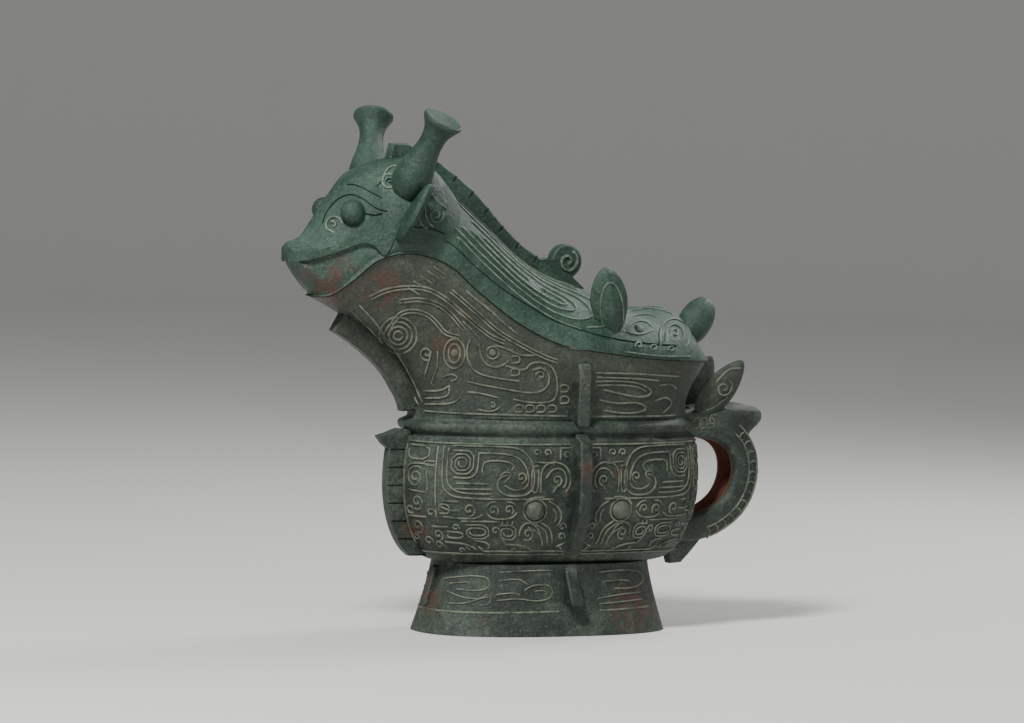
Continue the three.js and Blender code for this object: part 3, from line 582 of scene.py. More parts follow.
def head_point(x, share):
    """A point of the head's upper side, from the lip at 0 to the crown at 1, on the +Y side."""
    half, top = head_half(x), NECK_BASE + head_top(x)
    bottom = np.where(x < -SPOUT_REACH, NECK_BASE + np.minimum(jaw_rise(x), lip_rise(x) - 0.5), rim_height(x))
    corner = head_corner(x, head_lip(x, bottom, top)[0], top)
    turn = np.clip(share, 0, 1) * np.pi / 2
    return np.stack([x, *head_arch(x, half, corner, top, turn)], -1)


def head_shell(thin, steps, arch):
    """The head as outlines across it, from the seat round the jaw, the lip and the skull."""
    start = HEAD_HOLLOW_START if thin > 0 else SNOUT_TIP
    rings = []
    for x in start + (HEAD_END - start) * np.linspace(0, 1, steps)**1.25:
        half, top = head_half(x) - thin, NECK_BASE + head_top(x) - thin
        ahead = x < -SPOUT_REACH
        seat = NECK_BASE + min(jaw_rise(x), lip_rise(x) - 0.5) if ahead else rim_height(x) + LID_GAP
        bottom = seat + (thin if x < -SPOUT_REACH + 4 else -thin)
        lip, undercut = head_lip(x, bottom, top)
        seat_half = min(half - undercut, max(3, abs(float(rim_half_width(x))) - thin))
        side = [(seat_half * 0.5, bottom), (seat_half, bottom)]
        for t in np.linspace(0.2, 1, 5):
            outer = mix(seat_half, half - undercut * 0.6, math.sin(t * math.pi / 2))
            side.append((outer, mix(bottom, lip, t * 0.5)))
        side += [(half - undercut * 0.8, mix(bottom, lip, 0.72)), (half - undercut, mix(bottom, lip, 0.9)),
                 (half - undercut * 0.9, lip - 0.9), (half - 0.2, lip)]
        corner = head_corner(x, lip, top)
        side += [head_arch(x, half, corner, top, i / (arch + 1) * math.pi / 2) for i in range(arch + 1)]
        outline = [(0, bottom), *side, (0, top), *[(-y, z) for y, z in side[::-1]]]
        rings.append([(x, y, z) for y, z in outline])
    return skin(np.array(rings))


def lathe(profile, around=48):
    """A form turned about the Y axis, from its radius and place along Y."""
    turn = full_turn(around)
    return skin([np.stack([r * np.cos(turn), np.full(around, y), r * np.sin(turn)], -1) for r, y in profile])


def horn():
    """A bottle horn with a flared cap, whose tapered root sinks into the skull."""
    root, cap = -15, 35.2
    radius = through((root, 3), (-11, 7), (-6, 9.8), (0, 10.8), (6, 9.9), (12, 8.3), (19, 6.9), (24, 6.7),
                     (29, 7.6), (33, 9.6), (cap, 11))
    profile = [(float(radius(y)), y) for y in np.linspace(root, cap, 40)]
    profile += [(11.2, 36.2), (10.9, 37.2), (10.2, 37.6), (8.5, 37.2), (5, 36.8), (1, 36.7)]
    return placed(lathe(profile), (-96.5, -28, 251), (-86, -45, 285), (0, -1, 0))


def ball(centre, radii):
    profile = [(math.sin(t), -math.cos(t)) for t in np.linspace(0.05, math.pi - 0.05, 20)]
    points, triangles = lathe(profile, 32)
    return points * np.array(radii) + np.array(centre), triangles


def scoop_ear(base, tip, outward, length, width):
    """A leaf hollowed on its face, as the beast's ears are."""
    base, tip, outward = (np.array(value, float) for value in (base, tip, outward))
    whole = placed(leaf(length, width, 11, 0, 0.9), base, tip, outward)
    lift = outward * 5
    scoop = placed(leaf(length * 0.84, width * 0.74, 12, 0, 0.9), base + lift + (tip - base) * 0.08,
                   tip + lift, outward)
    return combined(whole, [scoop], "DIFFERENCE")


def head_details():
    """Horns, ears and eyes, and the leaf horns of the mask at the rear."""
    ear = scoop_ear((-105, -29, 216), (-93.5, -46, 249), (0.9, -0.36, -0.2), 38, 18)
    eye = ball((-127, -18.6, 231.3), (EYE_RADIUS, EYE_RADIUS, EYE_RADIUS))
    leaf_horn = placed(leaf(*LEAF_HORN), *LEAF_HORN_PLACE)
    near = [horn(), ear, eye, leaf_horn]
    return [*near, *[mirror(form) for form in near]]


def ridge():
    """The slit flange from between the horns down the back, up to its curled tail."""
    top = [(-96.8, 268.7), (-87.8, 268.9), (-70.5, 260.2), (-53.7, 249.1), (-41, 238.2), (-28.3, 225.2),
           (-15.5, 213.9), (-4, 207)]
    path = smooth_path(top[1:], 40)
    curl_x, curl_z = CURL_CENTRE
    curl = [(curl_x + CURL_RADIUS * math.cos(t * math.pi), curl_z + CURL_RADIUS * math.sin(t * math.pi))
            for t in np.linspace(0.95, -0.35, 26)]
    under = [(24, 190), (12, 190), (-2, 195), (-15, 202), (-28, 212), (-41, 224), (-54, 235), (-70, 244),
             (-90, 256), (-99, 259)]
    slits = []
    tangent = np.gradient(path, axis=0)
    for i in np.linspace(3, 38, 8).astype(int):
        slant = math.atan2(-tangent[i][0], -tangent[i][1])
        slits += slit_pair(path[i][0], path[i][1], slant, RIDGE_THICKNESS)
    return combined(plate([top[0], *path, *curl, *under], RIDGE_THICKNESS), slits, "DIFFERENCE")


def below_seat():
    """All that lies under the lid's seat on the rim, to cut away from the lid."""
    edge = rim_point(ANGLES)
    wide = edge + np.stack([np.zeros(AROUND), np.sign(edge[:, 1]) * 2 * WALL, np.full(AROUND, LID_GAP)], -1)
    wide[:, 0] *= 1.001
    low = wide.copy()
    low[:, 2] = NECK_BASE - 80
    return skin([low, wide], to_line)


# Carving: raised lines and bosses that follow a surface, and grooves cut into it
LINE_WIDTH = 1.15
LINE_HEIGHT = 0.65
LINE_ROOT = 0.35


def even(path, step):
    """A path as points about a step apart."""
    length = np.r_[0, np.cumsum(np.linalg.norm(np.diff(path, axis=0), axis=1))]
    at = np.linspace(0, length[-1], max(2, int(math.ceil(length[-1] / step)) + 1))
    return np.stack([np.interp(at, length, path[:, k]) for k in range(path.shape[1])], -1)


def soft(path, rounds=3):
    """A path with its corners cut round."""
    path = np.array(path, float)
    for _ in range(rounds):
        near, far = path[:-1] * 0.75 + path[1:] * 0.25, path[:-1] * 0.25 + path[1:] * 0.75
        path = np.concatenate([path[:1], np.stack([near, far], 1).reshape(-1, path.shape[1]), path[-1:]])
    return even(path, 1.6)


def strokes(*paths):
    return [soft(path) for path in paths]


def coil(u, z, radius, turns=1.3, start=90.0):
    """A round spiral from near its middle out to its radius."""
    t = np.linspace(0.16, 1, max(12, int(turns * 16)))
    angle = math.radians(start) + t * turns * 2 * math.pi
    return even(np.c_[u + radius * t * np.cos(angle), z + radius * t * np.sin(angle)], 1.1)


def hoop(u, z, across, up=None):
    """A closed ring, drawn once round."""
    angle = np.linspace(0, 2 * np.pi, 22)
    return np.c_[u + across * np.cos(angle), z + (up or across) * np.sin(angle)]


def nest(u0, z0, u1, z1, pitch=2.4, turns=2):
    """A squared spiral that winds into a box from its first corner."""
    du, dz = math.copysign(pitch, u1 - u0), math.copysign(pitch, z1 - z0)
    path = [(u0, z0)]
    for _ in range(turns):
        if (u1 - u0) * du < pitch * pitch or (z1 - z0) * dz < pitch * pitch:
            break
        path += [(u1, z0), (u1, z1), (u0, z1), (u0, z0 + dz)]
        u0, z0, u1, z1 = u0 + du, z0 + dz, u1 - du, z1 - dz
    return soft(path, 1)


def beside(path, gap):
    """A path and the line that runs beside it."""
    path = soft(path)
    ahead = directions(path)
    return [path, path + np.c_[-ahead[:, 1], ahead[:, 0]] * gap]


def leiwen(u0, z0, u1, z1, cell=6.0, pitch=1.9):
    """A box filled with small squared spirals, turned every other way."""
    columns, rows = max(1, round(abs(u1 - u0) / cell)), max(1, round(abs(z1 - z0) / cell))
    across, up, paths = (u1 - u0) / columns, (z1 - z0) / rows, []
    for i in range(columns):
        for j in range(rows):
            left, right = u0 + across * (i + 0.08), u0 + across * (i + 0.92)
            low, high = z0 + up * (j + 0.08), z0 + up * (j + 0.92)
            corners = (left, low, right, high) if (i + j) % 2 else (right, high, left, low)
            paths.append(nest(*corners, pitch))
    return paths


class Relief:
    """Low forms of one casting, gathered as one mesh, with how far each point stands out."""
    def __init__(self):
        self.points, self.triangles, self.raised, self.count = [], [], [], 0

    def add(self, points, triangles, raised):
        self.points.append(points)
        self.triangles.append(triangles + self.count)
        self.raised.append(raised)
        self.count += len(points)

    def strip(self, centre, normal, low_half, high_half, low, high):
        """One closed strip along centre points, a trapezoid in section."""
        tangent = np.gradient(centre, axis=0)
        side = np.cross(normal, tangent)
        side /= np.maximum(np.linalg.norm(side, axis=1, keepdims=True), 1e-9)
        rise = np.full(len(centre), high)
        if low_half > high_half:
            rise[[0, -1]] = 0.05
        bottom, top = centre + low * normal, centre + rise[:, None] * normal
        rings = np.stack([bottom - side * low_half, top - side * high_half, top + side * high_half,
                          bottom + side * low_half], 1)
        count = len(centre)
        a, b, c, d = quads(count, 4).T
        end = (count - 1) * 4
        caps = [[0, 1, 2], [0, 2, 3], [end, end + 2, end + 1], [end, end + 3, end + 2]]
        triangles = np.concatenate([np.c_[a, c, b], np.c_[a, d, c], caps])
        self.add(rings.reshape(-1, 3), triangles, np.tile([0.0, 1.0, 1.0, 0.0], count))

    def both_sides(self, centre, normal, *section):
        flip = np.array([1, -1, 1])
        self.strip(centre, normal, *section)
        self.strip(centre[::-1] * flip, normal[::-1] * flip, *section)

    def lines(self, find, paths, width=LINE_WIDTH, height=LINE_HEIGHT):
        """Raised lines along paths of places, on both sides of the vessel."""
        for path in paths:
            self.both_sides(*find(np.asarray(path)), width * 0.55, width * 0.3, -LINE_ROOT, height)

    def grooves(self, find, paths, width=1.2, depth=0.9):
        """Cutters for grooves along paths of places, on both sides of the vessel."""
        for path in paths:
            self.both_sides(*find(np.asarray(path)), width * 0.25, width * 0.65, -depth, 0.6)

    def boss(self, find, place, radius, rise, stretch=1.0):
        """A low dome, on both sides of the vessel."""
        centre, normal = (part[0] for part in find(np.array([place], float)))
        level = np.cross((0, 0, 1), normal)
        level /= np.linalg.norm(level)
        upright = np.cross(normal, level)
        turn = full_turn(24)[:, None]
        outline = level * np.cos(turn) * stretch + upright * np.sin(turn)
        profile = [(1, -LINE_ROOT * 2)]
        profile += [(math.cos(t), rise * math.sin(t)) for t in np.linspace(0, 1.45, 6)]
        form = skin([centre + outline * radius * share + normal * lift for share, lift in profile])
        for points, triangles in (form, mirror(form)):
            self.add(points, triangles, np.full(len(points), 0.55))

    def form(self):
        return np.concatenate(self.points), np.concatenate(self.triangles)


# Where a carved place lies: by length round the belly from its side flange, or as the camera sees it
VIEW_AZIMUTH, VIEW_ELEVATION = math.radians(27), math.radians(3.5)
TOWARD_VIEW = np.array([-math.sin(VIEW_AZIMUTH) * math.cos(VIEW_ELEVATION),
                        -math.cos(VIEW_AZIMUTH) * math.cos(VIEW_ELEVATION), math.sin(VIEW_ELEVATION)])


def across_view(points):
    return points[..., 0] * math.cos(VIEW_AZIMUTH) - points[..., 1] * math.sin(VIEW_AZIMUTH)


def near_angle(level):
    """An angle for each length along the near side of a level's outline, from the side flange."""
    angles = np.linspace(np.pi, 2 * np.pi, 721)
    outline = plan_point(angles, *level)
    length = np.r_[0, np.cumsum(np.linalg.norm(np.diff(outline, axis=0), axis=1))]
    length -= np.interp(FLANGE_X, outline[:, 0], length)
    return lambda along: np.interp(along, length, angles)


belly_angle = near_angle(belly_level(FULLEST))


def belly_point(angle, share):
    return plan_point(angle, *belly_level(share))


def foot_point(angle, share):
    return plan_point(angle, *foot_level(share))


def on_belly(places):
    angle, share = belly_angle(places[:, 0]), (places[:, 1] - FOOT_TOP) / BELLY_HEIGHT
    return belly_point(angle, share), surface_normal(belly_point, angle, share)


def near_head(x, share):
    return head_point(x, share) * np.array([1, -1, 1])


class Seen:
    """Finds places on a near-side surface by how far across and up the camera's direction shows them."""
    def __init__(self, surface, low, high):
        self.surface, self.low, self.high = surface, np.array(low, float), np.array(high, float)
        u, v = np.meshgrid(np.linspace(low[0], high[0], 150), np.linspace(low[1], high[1], 60), indexing="ij")
        places = np.stack([u.ravel(), v.ravel()], -1)
        facing = surface_normal(surface, *places.T) @ TOWARD_VIEW
        self.places = places[facing > 0.03]
        self.views = self.view(self.places)

    def view(self, places):
        points = self.surface(places[:, 0], places[:, 1])
        return np.stack([across_view(points), points[:, 2]], -1)

    def __call__(self, wanted):
        nearest = ((self.views[None] - wanted[:, None])**2).sum(-1).argmin(axis=1)
        places, span = self.places[nearest], self.high - self.low
        small, reach = span * 1e-4, span * 0.02
        for _ in range(6):
            here = self.view(places)
            du = (self.view(places + (small[0], 0)) - here) / small[0]
            dv = (self.view(places + (0, small[1])) - here) / small[1]
            miss = wanted - here
            area = du[:, 0] * dv[:, 1] - du[:, 1] * dv[:, 0]
            area = np.where(np.abs(area) < 1e-3, 1e-3, area)
            move = np.stack([miss[:, 0] * dv[:, 1] - miss[:, 1] * dv[:, 0],
                             du[:, 0] * miss[:, 1] - du[:, 1] * miss[:, 0]], -1) / area[:, None]
            places = np.clip(places + np.clip(move, -reach, reach), self.low, self.high - small)
        return self.surface(*places.T), surface_normal(self.surface, *places.T)


# The belly's beast mask: half of it, by length from the side flange and by height
def mask_half():
    paths = strokes(
        [(75, 105.3), (46, 105.3), (36, 104), (30, 98), (28, 90), (28, 84), (30, 80.5), (34, 78.2),
         (44, 78.2), (49, 81.5), (49.5, 86), (47, 89), (43.5, 89.5)],
        [(61, 101.5), (46, 101.5), (38, 99.5), (33.5, 95), (31.5, 89), (31.5, 84), (35, 81.5), (41, 81.5),
         (45, 84)], [(58, 91), (58, 95.3), (56, 97.5), (45, 97.5), (39.5, 95), (42, 91.5)],
        [(48, 89), (44.5, 92), (41, 90), (45, 86)], [(60.5, 101.5), (60.5, 91), (64.5, 87.5), (74, 88)],
        [(72, 84.8), (54.5, 84.8)], [(73, 81.8), (52.5, 81.8)],
        [(80, 105), (80, 84), (77, 79), (70, 76.4), (16, 76.4)],
        [(77.4, 104), (77.4, 86), (75, 82), (69, 79.2), (52, 79.2)], [(28, 97), (16, 96)],
        [(24, 80), (24.5, 90), (22, 95.5), (15.5, 97.2), (8.5, 94.5), (6, 88.5), (6.5, 83), (9, 80)],
        [(21, 88), (18, 92.5), (13, 93.8), (9, 90.5), (8.6, 85), (10.5, 82.6)], [(13.5, 85), (16.5, 80)],
        [(12.6, 104.5), (5.6, 104.5)], [(12.6, 104.5), (12.6, 98)], [(80, 75), (71, 74.6)],
        [(81, 71.8), (76, 69.6), (70, 69.8)], [(80, 66.3), (72, 65.4), (61, 65.4), (57.6, 68)],
        [(55, 68.5), (52.5, 65.4), (41.5, 65.4), (37.6, 69)], [(55.5, 72), (53, 75), (49, 75)],
        [(44, 75), (40, 74.8), (37.4, 71.4)], [(34, 71), (33, 75), (29, 77.4), (21.5, 77.4)],
        [(19, 75.5), (12.5, 72), (10, 66), (13, 61)], [(16, 71), (13.4, 67.5), (14.6, 63.5)],
        [(70, 64), (48, 64)], [(47, 54), (43.6, 51)],
        [(36.4, 56), (35.8, 60.5), (31.4, 64), (26, 62), (23, 56)], [(27, 63), (19.5, 59), (18, 50.5)],
        [(24, 64), (16.5, 59.8), (15, 51)], [(31, 61), (23, 57), (21.3, 50.3)], [(88, 60.4), (78, 60.4)],
        [(82, 52), (70, 51.4), (65, 48.9)], [(64, 53.4), (57, 52.6), (54.5, 50), (57, 48.5)],
        [(46, 51.5), (34, 50.5), (28, 47.6)], [(12, 49.6), (6.5, 52)])
    paths += [coil(*values) for values in (
        (35.7, 88.5, 3.4, 1.5), (27, 101.8, 2.4), (20.6, 101.8, 2.4), (14.5, 86.8, 3.4, 1.5),
        (8.6, 100.4, 2.4), (65, 70.4, 3.8, 1.5), (51.5, 70.2, 3.2, 1.4), (42.5, 70.6, 3, 1.4),
        (9.6, 61, 2.6), (50.6, 58.8, 2.6), (31, 57.2, 3.8, 1.6), (9.6, 55.4, 2.6), (84.5, 56, 3.2, 1.5),
        (86, 50, 2.6), (73.5, 60.2, 2.2), (40.4, 47.8, 1.8), (73, 47.6, 1.8))]
    paths += [nest(*values) for values in (
        (75, 102.6, 63, 90, 1.9, 3), (67.4, 62, 54.8, 54.4, 1.7, 2), (47.6, 62, 38.6, 54, 1.8, 2),
        (25.6, 94.6, 29.6, 80, 2, 1), (79, 57.8, 70, 54.4, 1.7, 1))]
    paths.append(hoop(27, 70, 6.9, 6.4))
    paths += [soft([(u, 64.2), (u + 1.2, 61)]) for u in (40, 43, 46)]
    paths += [soft([(u, 50), (u - 2.4, 47.6)]) for u in (10, 62, 66, 70)]
    paths += leiwen(75.4, 73.4, 82.4, 61.6, 5.6, 1.7)[:1]
    return paths


def dragon_column():
    """The small dragon that stands beside the front flange."""
    paths = [nest(103, 104.4, 88, 97, 2.2, 1), *leiwen(103.5, 71, 98.6, 66.6), *leiwen(91, 93.6, 84, 96.4, 5)]
    paths += [coil(*values) for values in (
        (96, 87, 6.2, 2.1), (95, 73.5, 4.6, 1.6), (97, 60, 4.2, 1.6), (92, 52, 3, 1.3),
        (101.4, 53.4, 2.4), (86.5, 68, 3, 1.4))]
    paths += strokes(
        [(103, 80), (88, 79)], [(104, 65.4), (90, 65.4)], [(105.6, 104.6), (105.6, 49)],
        [(83.4, 104.6), (83.4, 63)], [(88, 94.6), (100, 94.6), (103.4, 91)],
        [(89, 78), (87.6, 82), (89, 91)])
    return paths


def belly_carving(relief):
    """A mask on each half of the side, with the front dragon or the rear spirals beside it."""
    half = mask_half()
    rows = ((45.6, 6, 105), (47.2, 6, 60), (106.4, 6, 105.6))
    front = [*half, *dragon_column(), *strokes(*[[(start, z), (end, z)] for z, start, end in rows])]
    rear = [*half, *strokes(*[[(start, z), (min(end, 98), z)] for z, start, end in rows]),
            *leiwen(84, 104.6, 96, 62, 6.4), soft([(82.4, 104.6), (82.4, 64)])]
    for paths, side in ((front, -1), (rear, 1)):
        relief.lines(on_belly, [np.asarray(path) * (side, 1) for path in paths])
        relief.boss(on_belly, (27 * side, 70), 5.3, 3, 1.06)


# The neck, the foot, the lid and the head: lines as the front-left view shows them, across and up
def neck_carving(relief):
    find = Seen(neck_point, (np.pi + 0.02, 0.02), (2 * np.pi - 0.02, 0.985))
    paths = [hoop(-78.6, 164.7, r, r) for r in (2.4, 5, 7.6, 10.2)]
    paths += [coil(-62.9, 155.2, 4.2, 1.6), coil(-0.4, 144.2, 2.8), coil(-26.1, 127.4, 1.9, 1.1),
              hoop(-47.8, 155.5, 3.2, 5.2), hoop(-47.8, 155.5, 5.8, 8.2), hoop(-27, 156.5, 3.4)]
    for side, path in (
            (-1, [(-86.7, 164.7), (-79.6, 177.4), (-70.9, 179.8), (-61.9, 177.4), (-55.7, 171.1),
                  (-52.7, 167), (-45.2, 165.5)]),
            (1, [(-78.3, 182.6), (-68.4, 184.2), (-59.1, 182.6), (-51, 177), (-43.4, 168)]),
            (1, [(-93.7, 184.3), (-85.6, 188.9), (-73, 190.9), (-62.1, 189.9), (-52, 183.6),
                 (-44.4, 176.4)]),
            (-1, [(-53.8, 187.2), (-44.4, 179.4), (-35.4, 171.6), (-27.5, 165.8), (-20, 163)]),
            (-1, [(-49.9, 190.6), (-39.8, 182.4), (-29.7, 173.8), (-23.4, 168.4), (-12.1, 162.2),
                  (1.5, 155.4), (9, 153)])):
        paths += beside(path, 1.7 * side)
    hatches = ((-42, 190), (-37.6, 186.6), (-33, 183.2), (-28, 178.6), (-22.6, 174.2))
    paths += strokes(*[[(h, z), (h + 9, z - 7.4)] for h, z in hatches])
    paths += strokes(
        [(-60.5, 156.4), (-61.5, 150.8), (-63.9, 141.6)], [(-57, 156.5), (-56.6, 148.7), (-59.9, 138.4)],
        [(-43.6, 173.4), (-38.2, 168.4), (-34.1, 163.6)],
        [(-34.5, 160.9), (-33.4, 153.6), (-29.5, 149), (-22.9, 148.4), (-18.1, 152.2)],
        [(-39.7, 163.3), (-41.5, 156.9), (-39.3, 149.1), (-34.8, 144.8), (-25.5, 142.6), (-11.9, 141)],
        [(-40.4, 140.4), (-30.8, 138.3), (-19.9, 136.6), (-6.2, 134.3), (1.4, 135.6), (4.6, 140.2),
         (3.9, 145.9), (-0.1, 149), (-5, 147.1)],
        [(-20, 149.6), (-9.2, 146.3), (-6.5, 150.9), (-0.7, 152), (6, 149.5), (8.9, 142), (9.1, 133),
         (5.5, 129.2), (-6, 129.2), (-14.8, 131)], [(-40.1, 134.6), (-32.3, 134), (-22.4, 131.6)],
        [(-34, 125.2), (-26.7, 123.6), (-21.8, 126.7)], [(-64.7, 134), (-54.2, 134.6), (-50, 137.7)],
        [(-50, 137.7), (-49.8, 131.1), (-64, 130)], [(-63.4, 126.7), (-47.4, 127.7), (-43.4, 132)],
        [(-54.3, 142.2), (-48.3, 144.6), (-44.8, 141.9), (-49.3, 140.2)],
        [(-63.8, 123), (-48.3, 122.7), (-22.2, 122.5), (15.1, 121.8)],
        [(-104.6, 178), (-92.5, 166.3), (-82.3, 153), (-73.9, 139.4), (-66.7, 125.7)],
        [(-100, 181), (-90.1, 170.8), (-78.6, 154), (-70.9, 141), (-64.6, 127.6)],
        [(-26, 160.6), (-19, 158.8), (-12, 155), (-2, 155.6)],
        [(29.9, 140.9), (40.4, 141.4), (54.4, 140.3), (62.9, 134.9), (57.4, 131.4), (43.4, 134.1),
         (34.5, 136.5)], [(30, 138.7), (40.4, 139.2), (53.4, 138.2), (58.4, 135.2)],
        [(31, 143.4), (54, 142.6), (66, 141)],
        [(32.4, 130.8), (42.4, 128.4), (54.7, 129.4), (60.5, 124.8), (49.4, 122.6), (34.9, 124.8)],
        [(63.2, 129.2), (70.4, 132.2), (74, 127.6), (68.5, 122.6)],
        [(30.3, 145.9), (54.2, 145.2), (76.9, 143)], [(65.7, 138.2), (72.5, 139.2), (76.1, 135.6)],
        [(29.4, 121.6), (55.1, 121.2), (75.9, 121)])
    squares = ((-11.4, 126), (-5.5, 126), (0.6, 126), (6.6, 126), (-14.2, 153), (-14.2, 146), (13, 137.2),
               (13.4, 130.8))
    paths += [nest(h - 2.4, z - 1.9, h + 2.2, z + 1.9, 1.5, 1) for h, z in squares]
    hatches = ((-67.5, 198.1), (-63.4, 200.6), (-60.2, 203), (-71, 195), (-74, 191.6))
    paths += strokes(*[[(h, z), (h + 6.6, z - 4.3)] for h, z in hatches])
    relief.lines(find, paths)
    relief.boss(find, (-27, 156.5), 2.2, 1.2)
    relief.boss(find, (-47.8, 155.5), 2.2, 1.0)


def foot_carving(relief):
    find = Seen(foot_point, (np.pi + 0.02, 0.03), (2 * np.pi - 0.02, 0.97))
    relief.lines(find, strokes(
        [(-50.8, 30.1), (-43, 31.9), (-32.4, 33.2), (-24.8, 31.9), (-24.5, 27), (-30.4, 24.7),
         (-42.9, 25.3)], [(-48.3, 24), (-38.9, 20.7), (-29.8, 20.4), (-25, 22)],
        [(-46.7, 28), (-35.8, 29.6)],
        [(-49, 17.4), (-38, 17.6), (-30, 20.4), (-24, 24.4), (-24, 17.4), (-30, 17.2)],
        [(-19.6, 35.1), (-3.2, 36.2), (10.5, 36.2)],
        [(-20.7, 19.8), (-8.2, 21.1), (0.1, 19.3), (10, 20.7), (9.7, 28.1), (-0.2, 28.6), (-5.6, 25.5)],
        [(-21, 23), (-12, 24.2), (-8, 23)], [(-19.4, 30.6), (-8.5, 31.9), (-4, 28.6)],
        [(0, 25), (6, 25.4), (6.6, 23)],
        [(35.5, 34.6), (46.7, 35.4), (58, 34.6), (61.6, 28.5), (56, 24.9), (44.1, 25.5)],
        [(34.9, 20.2), (47, 22.1), (59.4, 22.4)], [(37.9, 29.5), (48, 30), (53, 29)],
        [(36.2, 17.4), (50, 18), (60, 18.6)]), 1.0, 0.5)
    border = strokes([(-58.6, 13), (-18.7, 13.2), (14, 13.8)], [(36.2, 13.7), (64.3, 14.2)])
    relief.lines(find, border, 1.3, 0.3)


def on_back(places):
    """Places on the lid's near flank, by length along the vessel and by share of the way up to the ridge."""
    def flank(x, share):
        rise = np.sin(share * np.pi / 2)**(2 / LID_FULLNESS)
        along = np.clip(x / (1 - 0.1 * rise) / np.where(x < 0, SPOUT_REACH, REAR_REACH), -1, 1)
        return lid_point(2 * np.pi - np.arccos(along), share)
    return flank(*places.T), surface_normal(flank, *places.T)


def back_scrolls():
    """A long tear-shaped body down the flank, with strands that curl off it."""
    paths = strokes(
        [(-72, 0.34), (-60, 0.30), (-40, 0.29), (-15, 0.28), (5, 0.30), (15, 0.42), (8, 0.58),
         (-12, 0.62), (-35, 0.61), (-55, 0.64), (-68, 0.72)],
        [(-66, 0.40), (-50, 0.36), (-25, 0.34), (-4, 0.35), (5, 0.43), (-1, 0.52), (-15, 0.55),
         (-40, 0.54), (-58, 0.57)], [(-60, 0.45), (-45, 0.41), (-25, 0.40), (-12, 0.41)],
        [(-52, 0.49), (-36, 0.47), (-24, 0.47)],
        [(-18, 0.48), (-8, 0.48), (-1, 0.44), (-7, 0.40), (-14, 0.42)],
        [(-66, 0.80), (-50, 0.74), (-25, 0.70), (0, 0.68), (18, 0.60), (25, 0.45), (19, 0.29), (6, 0.24)],
        [(-58, 0.86), (-42, 0.79), (-22, 0.76), (0, 0.75), (12, 0.72)],
        [(-20, 0.82), (0, 0.80), (14, 0.79)], [(-70, 0.27), (-50, 0.23), (-20, 0.22), (2, 0.21)])
    paths += [nest(x, 0.145, x + 4.2, 0.195, 1.4, 1) for x in np.arange(-58, -20, 7.0)]
    return [np.clip(path, (-78, 0.03), (92, 0.95)) for path in paths]


def lid_carving(relief, cut):
    """A groove along the lid's border, scrolls on its flanks and the mask at its rear."""
    find = Seen(lid_point, (np.pi + 0.02, 0.02), (2 * np.pi - 0.02, 0.985))
    border = soft([(-54, 217), (-48.8, 213.8), (-38.3, 203.5), (-24.3, 192.3), (-13.2, 185.3), (3.6, 175.4),
                   (20.1, 169.7), (31.3, 166.3), (50, 162.6), (75, 160)])
    cut.grooves(find, [border], 1.3, 0.8)
    paths = strokes(
        [(45.9, 169.6), (50.4, 173.2), (57.3, 173.5), (61.7, 169.9)],
        [(45.8, 168.7), (53.6, 166.1), (61.6, 168.8)],
        [(66.1, 160.5), (65.1, 168.2), (68.6, 173.2), (74.1, 174.6), (80.5, 171.1), (83.2, 165.5),
         (80.9, 159.9)], [(68.9, 162), (69, 169.1), (73.5, 172.1), (78.8, 168.7), (79.2, 163.7)],
        [(45.8, 157.6), (65, 154.8), (83.3, 154.2)],
        [(47.2, 177.9), (57, 179.5), (66.5, 179.1), (72.9, 176.4)],
        [(49.3, 175.9), (58.5, 176.9), (64, 175.2)])
    paths += [coil(74, 167, 2.6), coil(53.6, 161, 2.2), coil(62.2, 159.4, 2.2), coil(71.9, 158.4, 2)]
    relief.lines(find, paths)
    relief.lines(on_back, back_scrolls())
    relief.boss(find, (53.6, 169.8), 2.9, 1.6)


def head_carving(relief, cut):
    """Grooves round the eye, brow and cheek, a scroll on the nose, the brow ring and the nape's scrolls."""
    find = Seen(near_head, (-156, 0.02), (-65, 0.97))
    cut.grooves(find, strokes(
        [(-120.9, 225), (-119.6, 230.4), (-115.6, 236.3), (-109.9, 240.2), (-104.6, 240.8),
         (-98.5, 237.9), (-92.8, 233.6), (-86.1, 232.2)], [(-97.7, 230.9), (-93.8, 229.8), (-88.8, 231)],
        [(-108.8, 246), (-105.6, 246.2), (-100.6, 244.8), (-94.6, 241.8), (-89.6, 239.4)],
        [(-92.4, 245.6), (-90.4, 247.4), (-88.6, 250.4)],
        [(-77, 221.6), (-68.3, 221.1), (-61, 219.2), (-55, 217.2)]))
    cut.grooves(find, [hoop(*BROW_RING, 1.1)], 1.4, 1.2)
    relief.lines(find, [
        soft([(-110.4, 225.2), (-111.6, 227.9), (-115.7, 228.8), (-119, 226.1), (-119.2, 221.9),
              (-114.4, 220)]),
        coil(-115.2, 224.1, 2.2, 1.2), hoop(*BROW_RING, 3.6),
        soft([(-89.4, 248), (-88, 254), (-84, 257), (-80, 256)])], 1.5, 0.8)
    relief.lines(find, [
        coil(-60, 231, 4.4, 1.8), soft([(-70, 243), (-66, 236.6), (-65.6, 229), (-61, 224.4)]),
        soft([(-73, 240), (-69.4, 234), (-69, 227), (-64, 222.6)]), coil(-74.6, 228.4, 2.6, 1.3),
        soft([(-66, 246), (-60, 239), (-54, 234)])])


